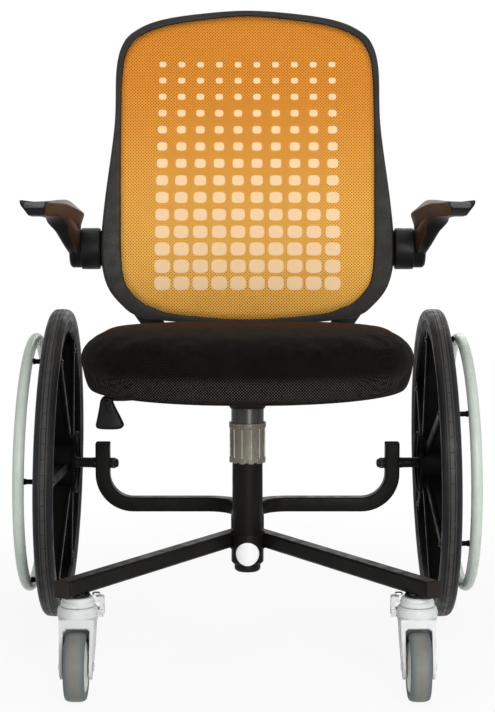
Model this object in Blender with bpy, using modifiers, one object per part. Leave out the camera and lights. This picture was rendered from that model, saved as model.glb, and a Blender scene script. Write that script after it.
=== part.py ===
"""A light wheelchair with a swivelling, height-adjustable office seat, for Blender 4.5.

Units are metres, +Z is up and the sitter looks along -Y, so the sitter's left is +X.
Sizes are written from the column's axis on the floor.  The chair_origin empty then moves
the whole chair, so that the world's origin is the middle of its footprint.
"""

import math

import bmesh
import bpy
from mathutils import Matrix, Vector

# Fits that hold all over the chair
CLEARANCE = 0.0003              # left between pieces that touch
RUNNING_GAP = 0.0006            # left between faces that turn on each other
ROUND_STEPS = 14                # facets round a small turned piece
COLUMN_STEPS = 18               # facets round the column's pieces

# Drive wheels
WHEEL_RADIUS = 0.2665           # over the tyre
TRACK_HALF = 0.327              # column axis to wheel plane, at axle height
AXLE_Y = 0.172
CAMBER = math.radians(1.2)      # wheels stand wider at the floor
WHEEL_STEPS = 40
HUB_STEPS = 20
SPOKE_COUNT = 6
WHEEL_PHASE = {1: 0.0, -1: math.radians(30.0)}   # how each wheel happens to stand
TYRE_WIDTH = 0.033
TREAD_WIDTH = 0.013
TYRE_HEIGHT = 0.024
RIM_WIDTH = 0.027
RIM_DEPTH = 0.0145              # from the tyre's seat to the inner edge
RIM_LIP = 0.004                 # flange that holds the tyre sideways
RIM_LIP_THICKNESS = 0.003
SPOKE_WIDTH = 0.0155
SPOKE_WEB = 0.006
SPOKE_EDGE = 0.0045             # thickness of a spoke's two edge flanges
SPOKE_ROOT_IN = 0.0228          # reach of a spoke's root towards the frame
SPOKE_ROOT_OUT = 0.0245         # and away from it
SPOKE_TIP = 0.0112
HUB_RADIUS = 0.021
HUB_INNER_END = -0.0245
HUB_OUTER_END = 0.038
HUB_DRUM_RADIUS = 0.044
HUB_DRUM_LOW = -0.004
HUB_DRUM_HIGH = 0.012
BEARING_RADIUS = 0.014
HUB_CAP_RADIUS = 0.0185
HUB_CAP_HEIGHT = 0.0065

# Push rims
HANDRIM_RADIUS = 0.2144         # to the middle of the tube
HANDRIM_TUBE_RADIUS = 0.0095
HANDRIM_OFFSET = 0.045          # wheel plane to rim plane
HANDRIM_SIDES = 8
STANDOFF_RADIUS = 0.0042

# Axles
AXLE_RADIUS = 0.006
AXLE_HEAD_RADIUS = 0.0095
AXLE_HEAD_HEIGHT = 0.004
SPACER_RADIUS = 0.008
AXLE_END = 0.0145              # threaded end past the arm

# Tube frame
TUBE_SIZE = 0.025               # square tube of the arms and legs
TUBE_WALL = 0.002
TUBE_CORNER = 0.003
COLUMN_RADIUS = 0.025
COLUMN_WALL = 0.002
COLUMN_TOP = 0.352
HUB_SLEEVE_RADIUS = 0.0266
HUB_SLEEVE_BOTTOM = 0.124
HUB_SLEEVE_TOP = 0.1755
HUB_SLEEVE_CHAMFER = 0.004
END_CAP_RADIUS = 0.0215
END_CAP_BOTTOM = 0.112
PLUG_DEPTH = 0.014
PLUG_FLANGE = 0.0025

# Rear arms, which carry the drive wheels
ARM_LEVEL = 0.193               # middle of the level run
ARM_PLATE_X = 0.252             # middle of the upright end
ARM_ABOVE_AXLE = 0.0319
ARM_ROOT_BEND = 0.0575
ARM_UPRIGHT_BEND = 0.0535
BEND_STEPS = 4

# Front legs, which carry the casters
LEG_TOP = 0.176
LEG_APEX_Y = 0.058              # where the two legs meet behind the column
STEM_X = 0.2475
STEM_Y = -0.332
LEG_OVERHANG = 0.037            # leg past the caster's stem

# Casters
CASTER_RADIUS = 0.050
CASTER_WIDTH = 0.0315
CASTER_TREAD = 0.018
CASTER_TRAIL = 0.031            # the wheel stands ahead of its stem here
CASTER_STEPS = 24
CASTER_TYRE_HEIGHT = 0.0105
CASTER_HUB_HALF = 0.0175
CASTER_AXLE_RADIUS = 0.004
CASTER_AXLE_HEAD = 0.0075
HEAD_RING_RADIUS = 0.0252
HEAD_RING_HEIGHT = 0.0135
STEM_FLANGE_RADIUS = 0.018
STEM_FLANGE_HEIGHT = 0.0035
FORK_HEAD_RADIUS = 0.0296
FORK_SHOULDER = 0.118
FORK_CHEEK_HALF = 0.0258        # at the shoulder, and at the wheel's axle
FORK_AXLE_HALF = 0.0236
FORK_SLOT_HALF = 0.0195
FORK_ROOF = 0.1065              # top of the arch over the wheel
FORK_BOSS_RADIUS = 0.018
STEM_RADIUS = 0.008
STEM_COLLAR_RADIUS = 0.011
STEM_COLLAR_HEIGHT = 0.0045
STEM_STUD_RADIUS = 0.006
STEM_STUD = 0.016               # threaded stud inside the leg

# Swivel lock lever on each caster
LOCK_X = 0.0343                 # pivot, from the stem towards the chair's middle
LOCK_Z = 0.1215
LOCK_BACK = 0.010               # middle of the lever, behind the stem
LOCK_WIDTH = 0.016
LOCK_THICKNESS = 0.0064
LOCK_TOP = 0.1455
LOCK_HOOK = 0.0055              # reach of the hook over the fork's shoulder
LOCK_EAR = 0.003
LOCK_PIN_RADIUS = 0.002

# Lift
GAS_CYLINDER_RADIUS = 0.014
GAS_CYLINDER_BOTTOM = 0.205
GAS_CYLINDER_TOP = 0.401
PISTON_RADIUS = 0.005
LIFT_STROKE = 0.055
BUSH_LENGTH = 0.070
BUSH_FLANGE = 0.004
BEARING_PLATE = 0.004           # floor of the column that carries the piston rod
THRUST_RADIUS = 0.012           # bearing that the seat's weight turns on
THRUST_HEIGHT = 0.006
COVER_WALL = 0.0011
COVER_TOP = 0.3855
COLLAR_BOTTOM = 0.2935
COLLAR_TOP = 0.3595
COLLAR_RADIUS = 0.0295          # at the foot, and it widens upwards
COLLAR_TOP_RADIUS = 0.0305
COLLAR_LIP = 0.005

# Seat
SEAT_Y = -0.025                 # middle of the cushion
SEAT_HALF_WIDTH = 0.2675
SEAT_HALF_DEPTH = 0.227
SEAT_BOTTOM = 0.4155
SEAT_WIDEST = 0.466
SEAT_CROWN = 0.5150
SEAT_SOFTENING = 0.002          # what the smoothing of the cushion's form takes off
PAN_HALF_WIDTH = 0.221
PAN_HALF_DEPTH = 0.184
PAN_SQUARENESS = 2.4            # of a plan: 2 is an ellipse, more is squarer
PAN_BOTTOM = 0.4245
PAN_THICKNESS = 0.012
SOFT_GAP = 0.0006               # cushion to the board that it wraps
RING_POINTS = 18

# Mechanism under the seat
PLATE_WIDTH = 0.186
PLATE_DEPTH = 0.160
PLATE_THICKNESS = 0.003
HOUSING_WIDTH = 0.112
HOUSING_DEPTH = 0.112
HOUSING_BOTTOM = 0.386
LEVER_PIVOT_X = -0.036
LEVER_LEVEL = 0.4125
LEVER_RADIUS = 0.0036
LEVER_END = (-0.2236, -0.020, 0.4000)
VALVE_RADIUS = 0.004            # pin in the cylinder that the lever presses
VALVE_PIN_DEPTH = 0.020
PADDLE_TOP_WIDTH = 0.022
PADDLE_WIDTH = 0.047
PADDLE_THICKNESS = 0.016
PADDLE_DROP = 0.050

# Back
BACK_FOOT_Y = 0.200             # front face at the lower rail
BACK_RECLINE = 0.090            # how far the top leans back
BACK_LUMBAR = 0.020             # how far the waist comes forward
BACK_WRAP = 0.015               # how far the middle lies behind the sides
BACK_THICKNESS = 0.022
BACK_PROFILE = (                # outer and inner edge, from the top's middle to the foot's
    ((0.0000, 1.0575), (0.0000, 1.0478)),
    ((0.0860, 1.0512), (0.0790, 1.0410)),
    ((0.1540, 1.0395), (0.1430, 1.0300)),
    ((0.1960, 1.0213), (0.1850, 1.0140)),
    ((0.2195, 0.9965), (0.2090, 0.9910)),
    ((0.2305, 0.9500), (0.2200, 0.9480)),
    ((0.2325, 0.8500), (0.2218, 0.8480)),
    ((0.2490, 0.7160), (0.2215, 0.7130)),
    ((0.2552, 0.6450), (0.2215, 0.6430)),
    ((0.2528, 0.6010), (0.2190, 0.5980)),
    ((0.2145, 0.5430), (0.1760, 0.5420)),
    ((0.1560, 0.5170), (0.1260, 0.5250)),
    ((0.0000, 0.5065), (0.0000, 0.5165)),
)
MESH_THICKNESS = 0.0014
MESH_INSET = 0.0005
MESH_RINGS = 3

# Yoke that carries the back
YOKE_WIDTH = 0.044
YOKE_THICKNESS = 0.009
YOKE_HEAD_X = 0.190
YOKE_HEAD_TOP = 0.562
YOKE_SLANT = 0.70               # sideways run for each metre down
YOKE_KNEE_Z = 0.452
YOKE_FRONT_Y = 0.084
YOKE_BLOCK_DEPTH = 0.046        # block that meets the seat board
YOKE_SEAT_GAP = 0.003
YOKE_FRAME_GAP = CLEARANCE

# Flip-up armrests
PIVOT_Y = 0.206
PIVOT_Z = 0.637
PIVOT_HUB_RADIUS = 0.036
PIVOT_HUB_INNER = 0.2578
PIVOT_HUB_OUTER = 0.2885
PIVOT_ARM_RADIUS = 0.033
PIVOT_ARM_OUTER = 0.3085
PIVOT_PIN_RADIUS = 0.006
PIVOT_PIN_HEAD = 0.010
PIVOT_HEAD_HEIGHT = 0.0025
PIVOT_BRACKET_HALF = 0.031
PIVOT_BRACKET_INNER = 0.2235
PIVOT_BRACKET_THICKNESS = 0.008
PAD_BOTTOM = 0.6953
PAD_TOP = 0.7225

# Sizes that follow from the ones above
HUB_SPAN = TRACK_HALF           # wheel plane to column axis, along the floor
RIM_SEAT_RADIUS = WHEEL_RADIUS - TYRE_HEIGHT
RIM_INNER_RADIUS = RIM_SEAT_RADIUS - RIM_DEPTH
AXLE_Z = WHEEL_RADIUS * math.cos(CAMBER) + TREAD_WIDTH / 2 * math.sin(CAMBER)
ARM_TOP = AXLE_Z + ARM_ABOVE_AXLE
LEG_BOTTOM = LEG_TOP - TUBE_SIZE
LEG_MIDDLE = LEG_TOP - TUBE_SIZE / 2
LEG_ANGLE = math.atan2(STEM_X, LEG_APEX_Y - STEM_Y)
HEAD_RING_TOP = LEG_BOTTOM - CLEARANCE - STEM_FLANGE_HEIGHT - CLEARANCE
HEAD_RING_BOTTOM = HEAD_RING_TOP - HEAD_RING_HEIGHT
FORK_TOP = HEAD_RING_BOTTOM - RUNNING_GAP
PAN_TOP = PAN_BOTTOM + PAN_THICKNESS
FOOTPRINT_FRONT = STEM_Y - CASTER_TRAIL - CASTER_RADIUS
FOOTPRINT_REAR = AXLE_Y + WHEEL_RADIUS
ORIGIN_Y = (FOOTPRINT_FRONT + FOOTPRINT_REAR) / 2
BACK_TOP = BACK_PROFILE[0][0][1]
BACK_BOTTOM = BACK_PROFILE[-1][0][1]
BACK_HALF_WIDTH = max(outer[0] for outer, inner in BACK_PROFILE)

SIDES = {"left": 1, "right": -1}


# Colours and surfaces: colour, metallic, roughness

FINISHES = {
    "powder_coat": ((0.018, 0.018, 0.018), 0.0, 0.45),
    "black_plastic": ((0.022, 0.022, 0.022), 0.0, 0.40),
    "frame_plastic": ((0.045, 0.045, 0.046), 0.0, 0.50),
    "wheel_plastic": ((0.016, 0.016, 0.017), 0.0, 0.35),
    "tyre_rubber": ((0.040, 0.042, 0.044), 0.0, 0.75),
    "handrim_coat": ((0.60, 0.66, 0.63), 0.0, 0.25),
    "caster_grey": ((0.68, 0.70, 0.71), 0.0, 0.45),
    "caster_cream": ((0.62, 0.62, 0.57), 0.0, 0.45),
    "caster_rubber": ((0.15, 0.16, 0.165), 0.0, 0.60),
    "zinc": ((0.62, 0.65, 0.68), 1.0, 0.30),
    "bright_steel": ((0.60, 0.60, 0.60), 1.0, 0.25),
    "smoked_plastic": ((0.16, 0.155, 0.145), 0.0, 0.30),
    "gloss_black": ((0.012, 0.012, 0.012), 0.0, 0.20),
    "seat_fabric": ((0.020, 0.018, 0.017), 0.0, 0.90),
    "orange_mesh": ((0.80, 0.36, 0.06), 0.0, 0.70),
    "plywood": ((0.36, 0.24, 0.13), 0.0, 0.60),
}


def make_materials():
    """Makes one Principled material for each finish and returns them by name."""
    made = {}
    for name, (colour, metallic, roughness) in FINISHES.items():
        material = bpy.data.materials.new(name)
        material.use_nodes = True
        shader = material.node_tree.nodes["Principled BSDF"]
        shader.inputs["Base Color"].default_value = (*colour, 1.0)
        shader.inputs["Metallic"].default_value = metallic
        shader.inputs["Roughness"].default_value = roughness
        material.diffuse_color = (*colour, 1.0)
        made[name] = material
    return made


def clear_scene():
    """Removes every object of the open file."""
    for item in list(bpy.data.objects):
        bpy.data.objects.remove(item, do_unlink=True)


clear_scene()
MATERIALS = make_materials()
PARTS = bpy.data.collections.new("swivel_wheelchair")
HELPERS = bpy.data.collections.new("cutters")
bpy.context.scene.collection.children.link(PARTS)
bpy.context.scene.collection.children.link(HELPERS)


# Placing objects

def empty(name, location=(0, 0, 0), rotation=(0, 0, 0), parent=None):
    """An empty that carries pieces, on a joint's axis or at a fastening point."""
    holder = bpy.data.objects.new(name, None)
    holder.location = location
    holder.rotation_euler = rotation
    holder.parent = parent
    PARTS.objects.link(holder)
    return holder


def place(name, mesh, finish, parent, location=(0, 0, 0), rotation=(0, 0, 0)):
    """A visible piece.  A piece without a finish is a cutter or goes into a union."""
    item = bpy.data.objects.new(name, mesh)
    item.location = location
    item.rotation_euler = rotation
    item.parent = parent
    if finish:
        mesh.materials.append(MATERIALS[finish])
        PARTS.objects.link(item)
    else:
        item.hide_render = True
        item.display_type = "WIRE"
        HELPERS.objects.link(item)
    return item


def mesh_from(name, shape):
    """Turns a bmesh into a mesh, shaded smooth with sharp edges kept sharp."""
    mesh = bpy.data.meshes.new(name)
    shape.to_mesh(mesh)
    shape.free()
    mesh.shade_smooth()
    mesh.set_sharp_from_angle(angle=math.radians(35))
    return mesh


# Shapes

def turned(name, profile, finish, parent, steps=ROUND_STEPS, location=(0, 0, 0), rotation=(0, 0, 0)):
    """A piece turned about its local Z.

    The profile is a list of (radius, height).  It is an outline with a bore, or it starts
    and ends on the axis.
    """
    solid = profile[0][0] == 0 and profile[-1][0] == 0
    area = sum(a[0] * b[1] - b[0] * a[1] for a, b in zip(profile, profile[1:] + profile[:1]))
    points = profile if area < 0 else profile[::-1]
    count = len(points)
    edges = [(i, (i + 1) % count) for i in range(count - 1 if solid else count)]
    mesh = bpy.data.meshes.new(name)
    mesh.from_pydata([(radius, 0, height) for radius, height in points], edges, [])
    item = place(name, mesh, finish, parent, location, rotation)
    screw = item.modifiers.new("turn", "SCREW")
    screw.steps = screw.render_steps = steps
    screw.use_merge_vertices = True
    screw.merge_threshold = 0.00001
    screw.use_smooth_shade = True
    return item


def box(name, size, finish, parent, location=(0, 0, 0), rotation=(0, 0, 0), bevel=0.0, segments=2):
    """A block with its own size, whose edges are rounded where a bevel is given."""
    shape = bmesh.new()
    bmesh.ops.create_cube(shape, size=1.0)
    bmesh.ops.scale(shape, vec=size, verts=shape.verts)
    item = place(name, mesh_from(name, shape), finish, parent, location, rotation)
    if bevel:
        rounding = item.modifiers.new("rounding", "BEVEL")
        rounding.width = bevel
        rounding.segments = segments
    return item


def pegs(name, feet, length, radius, sides=6):
    """Round pegs that stand along local Z on the given feet."""
    shape = bmesh.new()
    for x, y, z in feet:
        made = bmesh.ops.create_cone(shape, cap_ends=True, segments=sides, radius1=radius,
                                     radius2=radius, depth=length)["verts"]
        bmesh.ops.translate(shape, vec=(x, y, z + length / 2), verts=made)
    return mesh_from(name, shape)


def bridge(shape, rows, joined, capped):
    """Skins rows of vertices, joins the last row to the first, or caps both ends."""
    pairs = list(zip(rows, rows[1:]))
    if joined:
        pairs.append((rows[-1], rows[0]))
    for lower, upper in pairs:
        for i in range(len(lower)):
            j = (i + 1) % len(lower)
            shape.faces.new((lower[i], lower[j], upper[j], upper[i]))
    if capped:
        shape.faces.new(rows[0][::-1])
        shape.faces.new(rows[-1])


def loft(name, rings, finish, parent, joined=False, location=(0, 0, 0), rotation=(0, 0, 0)):
    """A skin over sections that differ, each a ring of as many points as the others."""
    shape = bmesh.new()
    rows = [[shape.verts.new(point) for point in ring] for ring in rings]
    bridge(shape, rows, joined, not joined)
    bmesh.ops.recalc_face_normals(shape, faces=shape.faces)
    return place(name, mesh_from(name, shape), finish, parent, location, rotation)


def extruded(name, outline, thickness, finish, parent, location=(0, 0, 0), rotation=(0, 0, 0), bevel=0.0):
    """A flat plate from a closed outline in local XY, half of its thickness to each side."""
    curve = bpy.data.curves.new(name + "_outline", "CURVE")
    curve.dimensions = "2D"
    curve.fill_mode = "BOTH"
    curve.extrude = thickness / 2 - bevel
    curve.bevel_depth = bevel
    curve.bevel_resolution = 0
    curve.offset = -bevel
    spline = curve.splines.new("POLY")
    spline.points.add(len(outline) - 1)
    for point, (x, y) in zip(spline.points, outline):
        point.co = (x, y, 0, 1)
    spline.use_cyclic_u = True
    return as_mesh(name, curve, finish, parent, location, rotation)


def along(name, points, finish, parent, radius=0.0, section=None, sides=2):
    """A round rod, or a bar of the given section, that follows the points."""
    curve = bpy.data.curves.new(name + "_path", "CURVE")
    curve.dimensions = "3D"
    curve.twist_mode = "MINIMUM"
    curve.use_fill_caps = True
    guide = None
    if section:
        guide_curve = bpy.data.curves.new(name + "_section", "CURVE")
        guide_curve.dimensions = "2D"
        line = guide_curve.splines.new("POLY")
        line.points.add(len(section) - 1)
        for point, (x, y) in zip(line.points, section):
            point.co = (x, y, 0, 1)
        line.use_cyclic_u = True
        guide = bpy.data.objects.new(name + "_section", guide_curve)
        HELPERS.objects.link(guide)
        curve.bevel_mode = "OBJECT"
        curve.bevel_object = guide
    else:
        curve.bevel_depth = radius
        curve.bevel_resolution = sides
    spline = curve.splines.new("POLY")
    spline.points.add(len(points) - 1)
    for point, place_at in zip(spline.points, points):
        point.co = (*place_at, 1)
    item = as_mesh(name, curve, finish, parent)
    if guide:
        bpy.data.objects.remove(guide, do_unlink=True)
    return item


def as_mesh(name, curve, finish, parent, location=(0, 0, 0), rotation=(0, 0, 0)):
    """Makes a curve into a closed mesh piece, with its loose caps welded on."""
    draft = bpy.data.objects.new(name + "_draft", curve)
    HELPERS.objects.link(draft)
    ready = draft.evaluated_get(bpy.context.evaluated_depsgraph_get())
    mesh = bpy.data.meshes.new_from_object(ready)
    bpy.data.objects.remove(draft, do_unlink=True)
    shape = bmesh.new()
    shape.from_mesh(mesh)
    bmesh.ops.remove_doubles(shape, verts=shape.verts, dist=0.00001)
    bmesh.ops.recalc_face_normals(shape, faces=shape.faces)
    bpy.data.meshes.remove(mesh)
    return place(name, mesh_from(name, shape), finish, parent, location, rotation)


def combine(item, other, operation):
    """Cuts the other piece out of the item, or joins it on."""
    change = item.modifiers.new(other.name, "BOOLEAN")
    change.operation = operation
    change.object = other
    change.solver = "EXACT"


def cut(item, *others):
    """Cuts each of the others out of the item."""
    for other in others:
        combine(item, other, "DIFFERENCE")


def join(item, *others):
    """Joins each of the others onto the item."""
    for other in others:
        combine(item, other, "UNION")


def arc(centre, radius, start, end, steps):
    """Points along an arc in a plane, from one angle in degrees to the other."""
    if not steps:
        return [tuple(centre)]
    angles = [math.radians(start + (end - start) * k / steps) for k in range(steps + 1)]
    return [(centre[0] + radius * math.cos(a), centre[1] + radius * math.sin(a)) for a in angles]


def rounded_rectangle(width, height, corner, steps=2):
    """Outline of a rectangle with round corners, about its middle."""
    points = []
    for start, sx, sy in ((0, 1, 1), (90, -1, 1), (180, -1, -1), (270, 1, -1)):
        middle = (sx * (width / 2 - corner), sy * (height / 2 - corner))
        points += arc(middle, corner, start, start + 90, steps)
    return points


def smooth_through(points, closed, steps):
    """Points of any size on a smooth curve through the given ones, with steps between each two."""
    count = len(points)
    out = []
    for i in range(count if closed else count - 1):
        around = [i - 1, i, i + 1, i + 2]
        if closed:
            before, here, there, after = (Vector(points[k % count]) for k in around)
        else:
            before, here, there, after = (Vector(points[max(0, min(count - 1, k))]) for k in around)
        for step in range(steps):
            t = step / steps
            out.append(
                0.5 * (2 * here + (there - before) * t + (2 * before - 5 * here + 4 * there - after) * t * t
                       + (3 * here - before - 3 * there + after) * t ** 3)
            )
    if not closed:
        out.append(Vector(points[-1]))
    return out


# Frame

def column(chair):
    """The upright: hub sleeve, tube, foot cap, and the fixed pieces of the lift."""
    inner = COLUMN_RADIUS - COLUMN_WALL
    floor_top = HUB_SLEEVE_BOTTOM + BEARING_PLATE
    turned("column_hub", [
        (COLUMN_RADIUS + CLEARANCE, HUB_SLEEVE_TOP),
        (HUB_SLEEVE_RADIUS, HUB_SLEEVE_TOP),
        (HUB_SLEEVE_RADIUS, HUB_SLEEVE_BOTTOM + HUB_SLEEVE_CHAMFER),
        (HUB_SLEEVE_RADIUS - HUB_SLEEVE_CHAMFER, HUB_SLEEVE_BOTTOM),
        (PISTON_RADIUS + RUNNING_GAP, HUB_SLEEVE_BOTTOM),
        (PISTON_RADIUS + RUNNING_GAP, floor_top),
        (COLUMN_RADIUS + CLEARANCE, floor_top),
    ], "powder_coat", chair, steps=COLUMN_STEPS)
    turned("column_tube", [
        (inner, COLUMN_TOP),
        (COLUMN_RADIUS, COLUMN_TOP),
        (COLUMN_RADIUS, floor_top + CLEARANCE),
        (inner, floor_top + CLEARANCE),
    ], "powder_coat", chair, steps=COLUMN_STEPS)
    cap_top = HUB_SLEEVE_BOTTOM - CLEARANCE
    turned("column_end_cap", [
        (0, cap_top),
        (END_CAP_RADIUS, cap_top),
        (END_CAP_RADIUS, END_CAP_BOTTOM + END_CAP_RADIUS / 6),
        (END_CAP_RADIUS * 0.84, END_CAP_BOTTOM),
        (0, END_CAP_BOTTOM),
    ], "black_plastic", chair, steps=COLUMN_STEPS)
    bush_outer = inner - CLEARANCE
    bush_inner = GAS_CYLINDER_RADIUS + RUNNING_GAP
    turned("guide_bush", [
        (bush_inner, COLUMN_TOP + BUSH_FLANGE),
        (COLUMN_RADIUS, COLUMN_TOP + BUSH_FLANGE),
        (COLUMN_RADIUS, COLUMN_TOP + CLEARANCE),
        (bush_outer, COLUMN_TOP + CLEARANCE),
        (bush_outer, COLUMN_TOP - BUSH_LENGTH),
        (bush_inner, COLUMN_TOP - BUSH_LENGTH),
    ], "black_plastic", chair, steps=COLUMN_STEPS)
    turned("thrust_bearing", [
        (PISTON_RADIUS + RUNNING_GAP, floor_top + CLEARANCE + THRUST_HEIGHT),
        (THRUST_RADIUS, floor_top + CLEARANCE + THRUST_HEIGHT),
        (THRUST_RADIUS, floor_top + CLEARANCE),
        (PISTON_RADIUS + RUNNING_GAP, floor_top + CLEARANCE),
    ], "bright_steel", chair)
    collar(chair)


def collar(chair):
    """Collar at the top of the column, round the lift's cover."""
    grip = COLUMN_RADIUS + CLEARANCE
    bore = COLUMN_RADIUS + CLEARANCE + COVER_WALL + RUNNING_GAP * 2
    turned("lift_collar", [
        (bore, COLLAR_TOP),
        (COLLAR_TOP_RADIUS, COLLAR_TOP),
        (COLLAR_RADIUS, COLLAR_BOTTOM),
        (grip, COLLAR_BOTTOM),
        (grip, COLLAR_BOTTOM + COLLAR_LIP),
        (bore, COLLAR_BOTTOM + COLLAR_LIP),
    ], "smoked_plastic", chair, steps=COLUMN_STEPS)


def arm_path(side, start_y):
    """Middle line of a rear arm: back from the column, out, and up past the axle."""
    root_x = (TUBE_SIZE + CLEARANCE) / 2
    turn_1 = (root_x + ARM_ROOT_BEND, AXLE_Y - ARM_ROOT_BEND)
    points = [(root_x, start_y, ARM_LEVEL)]
    for x, y in arc(turn_1, ARM_ROOT_BEND, 180, 90, BEND_STEPS):
        points.append((x, y, ARM_LEVEL))
    turn_2 = (ARM_PLATE_X - ARM_UPRIGHT_BEND, ARM_LEVEL + ARM_UPRIGHT_BEND)
    for x, z in arc(turn_2, ARM_UPRIGHT_BEND, -90, 0, BEND_STEPS):
        points.append((x, AXLE_Y, z))
    points.append((ARM_PLATE_X, AXLE_Y, ARM_TOP))
    return [(side * x, y, z) for x, y, z in points]


def rear_arms(chair):
    """Bent square tubes from the column's back to the wheels, with their end plugs."""
    wall_size = TUBE_SIZE - 2 * TUBE_WALL
    for word, side in SIDES.items():
        arm = along("rear_arm_" + word, arm_path(side, 0.0), "powder_coat", chair,
                    section=rounded_rectangle(TUBE_SIZE, TUBE_SIZE, TUBE_CORNER, 1))
        hollow_path = arm_path(side, 0.0)
        first, last = hollow_path[0], hollow_path[-1]
        hollow_path[0] = (first[0], first[1] - TUBE_SIZE, first[2])
        hollow_path[-1] = (last[0], last[1], last[2] + TUBE_SIZE)
        hollow = along("arm_hollow_" + word, hollow_path, None, chair,
                       section=rounded_rectangle(wall_size, wall_size, 0.0, 0))
        saddle = turned("arm_saddle_" + word, cylinder_profile(COLUMN_RADIUS + CLEARANCE, 0.1, 0.3),
                        None, chair, steps=COLUMN_STEPS)
        holder = wheel_holder("arm_bore_holder_" + word, side, chair)
        bore = turned("arm_bore_" + word, cylinder_profile(AXLE_RADIUS + CLEARANCE, -0.12, -0.04),
                      None, holder, steps=ROUND_STEPS)
        cut(arm, hollow, saddle, bore)
        plug_piece("arm_plug_" + word, chair, (side * ARM_PLATE_X, AXLE_Y, ARM_TOP), (0, 0, 0))


def plug_piece(name, parent, location, rotation):
    """Plastic plug for a square tube's end: a shank in the bore and a rounded flange."""
    shank = TUBE_SIZE - 2 * TUBE_WALL - 2 * CLEARANCE
    sections = [
        (shank, -PLUG_DEPTH), (shank, CLEARANCE), (TUBE_SIZE, CLEARANCE),
        (TUBE_SIZE, PLUG_FLANGE * 0.6), (TUBE_SIZE - PLUG_FLANGE, PLUG_FLANGE + CLEARANCE),
    ]
    rings = [
        [(x, y, height) for x, y in rounded_rectangle(size, size, TUBE_CORNER / 2, 1)]
        for size, height in sections
    ]
    return loft(name, rings, "black_plastic", parent, location=location, rotation=rotation)


def cylinder_profile(radius, bottom, top):
    """Profile of a plain cylinder."""
    return [(0, top), (radius, top), (radius, bottom), (0, bottom)]


def front_legs(chair):
    """Straight square tubes that pass the hub on both sides and end over the casters."""
    stem_run = math.hypot(STEM_X, LEG_APEX_Y - STEM_Y)
    length = stem_run + LEG_OVERHANG
    for word, side in SIDES.items():
        turn = (0, 0, -side * (math.pi / 2 - LEG_ANGLE) if side > 0 else math.pi + math.pi / 2 - LEG_ANGLE)
        line = empty("leg_line_" + word, (0, LEG_APEX_Y, LEG_MIDDLE), turn, chair)
        extra = TUBE_SIZE
        middle = (length - extra) / 2
        leg = box("front_leg_" + word, (length + extra, TUBE_SIZE, TUBE_SIZE), "powder_coat", line,
                  (middle, 0, 0), bevel=TUBE_CORNER, segments=1)
        wall_size = TUBE_SIZE - 2 * TUBE_WALL
        hollow = box("leg_hollow_" + word, (length + 4 * extra, wall_size, wall_size), None, line,
                     (middle, 0, 0))
        mitre = box("leg_mitre_" + word, (0.2, 0.4, 0.1), None, chair,
                    (-side * (0.1 - CLEARANCE / 2), LEG_APEX_Y, LEG_MIDDLE))
        sleeve = turned("leg_saddle_" + word,
                        cylinder_profile(HUB_SLEEVE_RADIUS + CLEARANCE, 0.1, 0.2), None, chair, steps=COLUMN_STEPS)
        end = box("leg_end_" + word, (0.1, 0.1, 0.1), None, line, (length + 0.05, 0, 0))
        stem_hole = turned("leg_stem_hole_" + word,
                           cylinder_profile(STEM_STUD_RADIUS + CLEARANCE, -TUBE_SIZE, 0), None,
                           line, location=(stem_run, 0, 0))
        cut(leg, hollow, mitre, sleeve, end, stem_hole)
        plug_piece("leg_plug_" + word, line, (length, 0, 0), (0, math.pi / 2, 0))


# Drive wheels, built about the axle: local Z points out along it

def wheel_holder(name, side, chair):
    """Empty on a drive wheel's axis, whose Z points outwards."""
    tilt = side * (math.pi / 2 - CAMBER)
    return empty(name, (side * HUB_SPAN, AXLE_Y, AXLE_Z), (0, tilt, 0), chair)


def spoke_angles(side):
    """Direction of each spoke about the axle."""
    return [WHEEL_PHASE[side] + 2 * math.pi * k / SPOKE_COUNT for k in range(SPOKE_COUNT)]


def spoke_rings(angle):
    """Both ends of one spoke, an I-beam that gets shallower from the hub to the rim."""
    half = SPOKE_WIDTH / 2
    web = SPOKE_WEB / 2
    edge = SPOKE_EDGE
    rim_mid = (RIM_INNER_RADIUS + RIM_SEAT_RADIUS) / 2
    stations = [
        (HUB_RADIUS - 0.003, -SPOKE_ROOT_IN, SPOKE_ROOT_OUT),
        (rim_mid, -SPOKE_TIP, SPOKE_TIP),
    ]
    along_axis = Vector((math.cos(angle), math.sin(angle), 0))
    across = Vector((-math.sin(angle), math.cos(angle), 0))
    rings = []
    for run, low, high in stations:
        inset = min(half, run * 0.38)
        shape = [
            (inset, low), (inset, low + edge), (web, low + edge * 1.4),
            (web, high - edge * 1.4), (inset, high - edge), (inset, high),
        ]
        outline = shape + [(-x, z) for x, z in reversed(shape)]
        rings.append([along_axis * run + across * x + Vector((0, 0, z)) for x, z in outline])
    return rings


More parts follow.
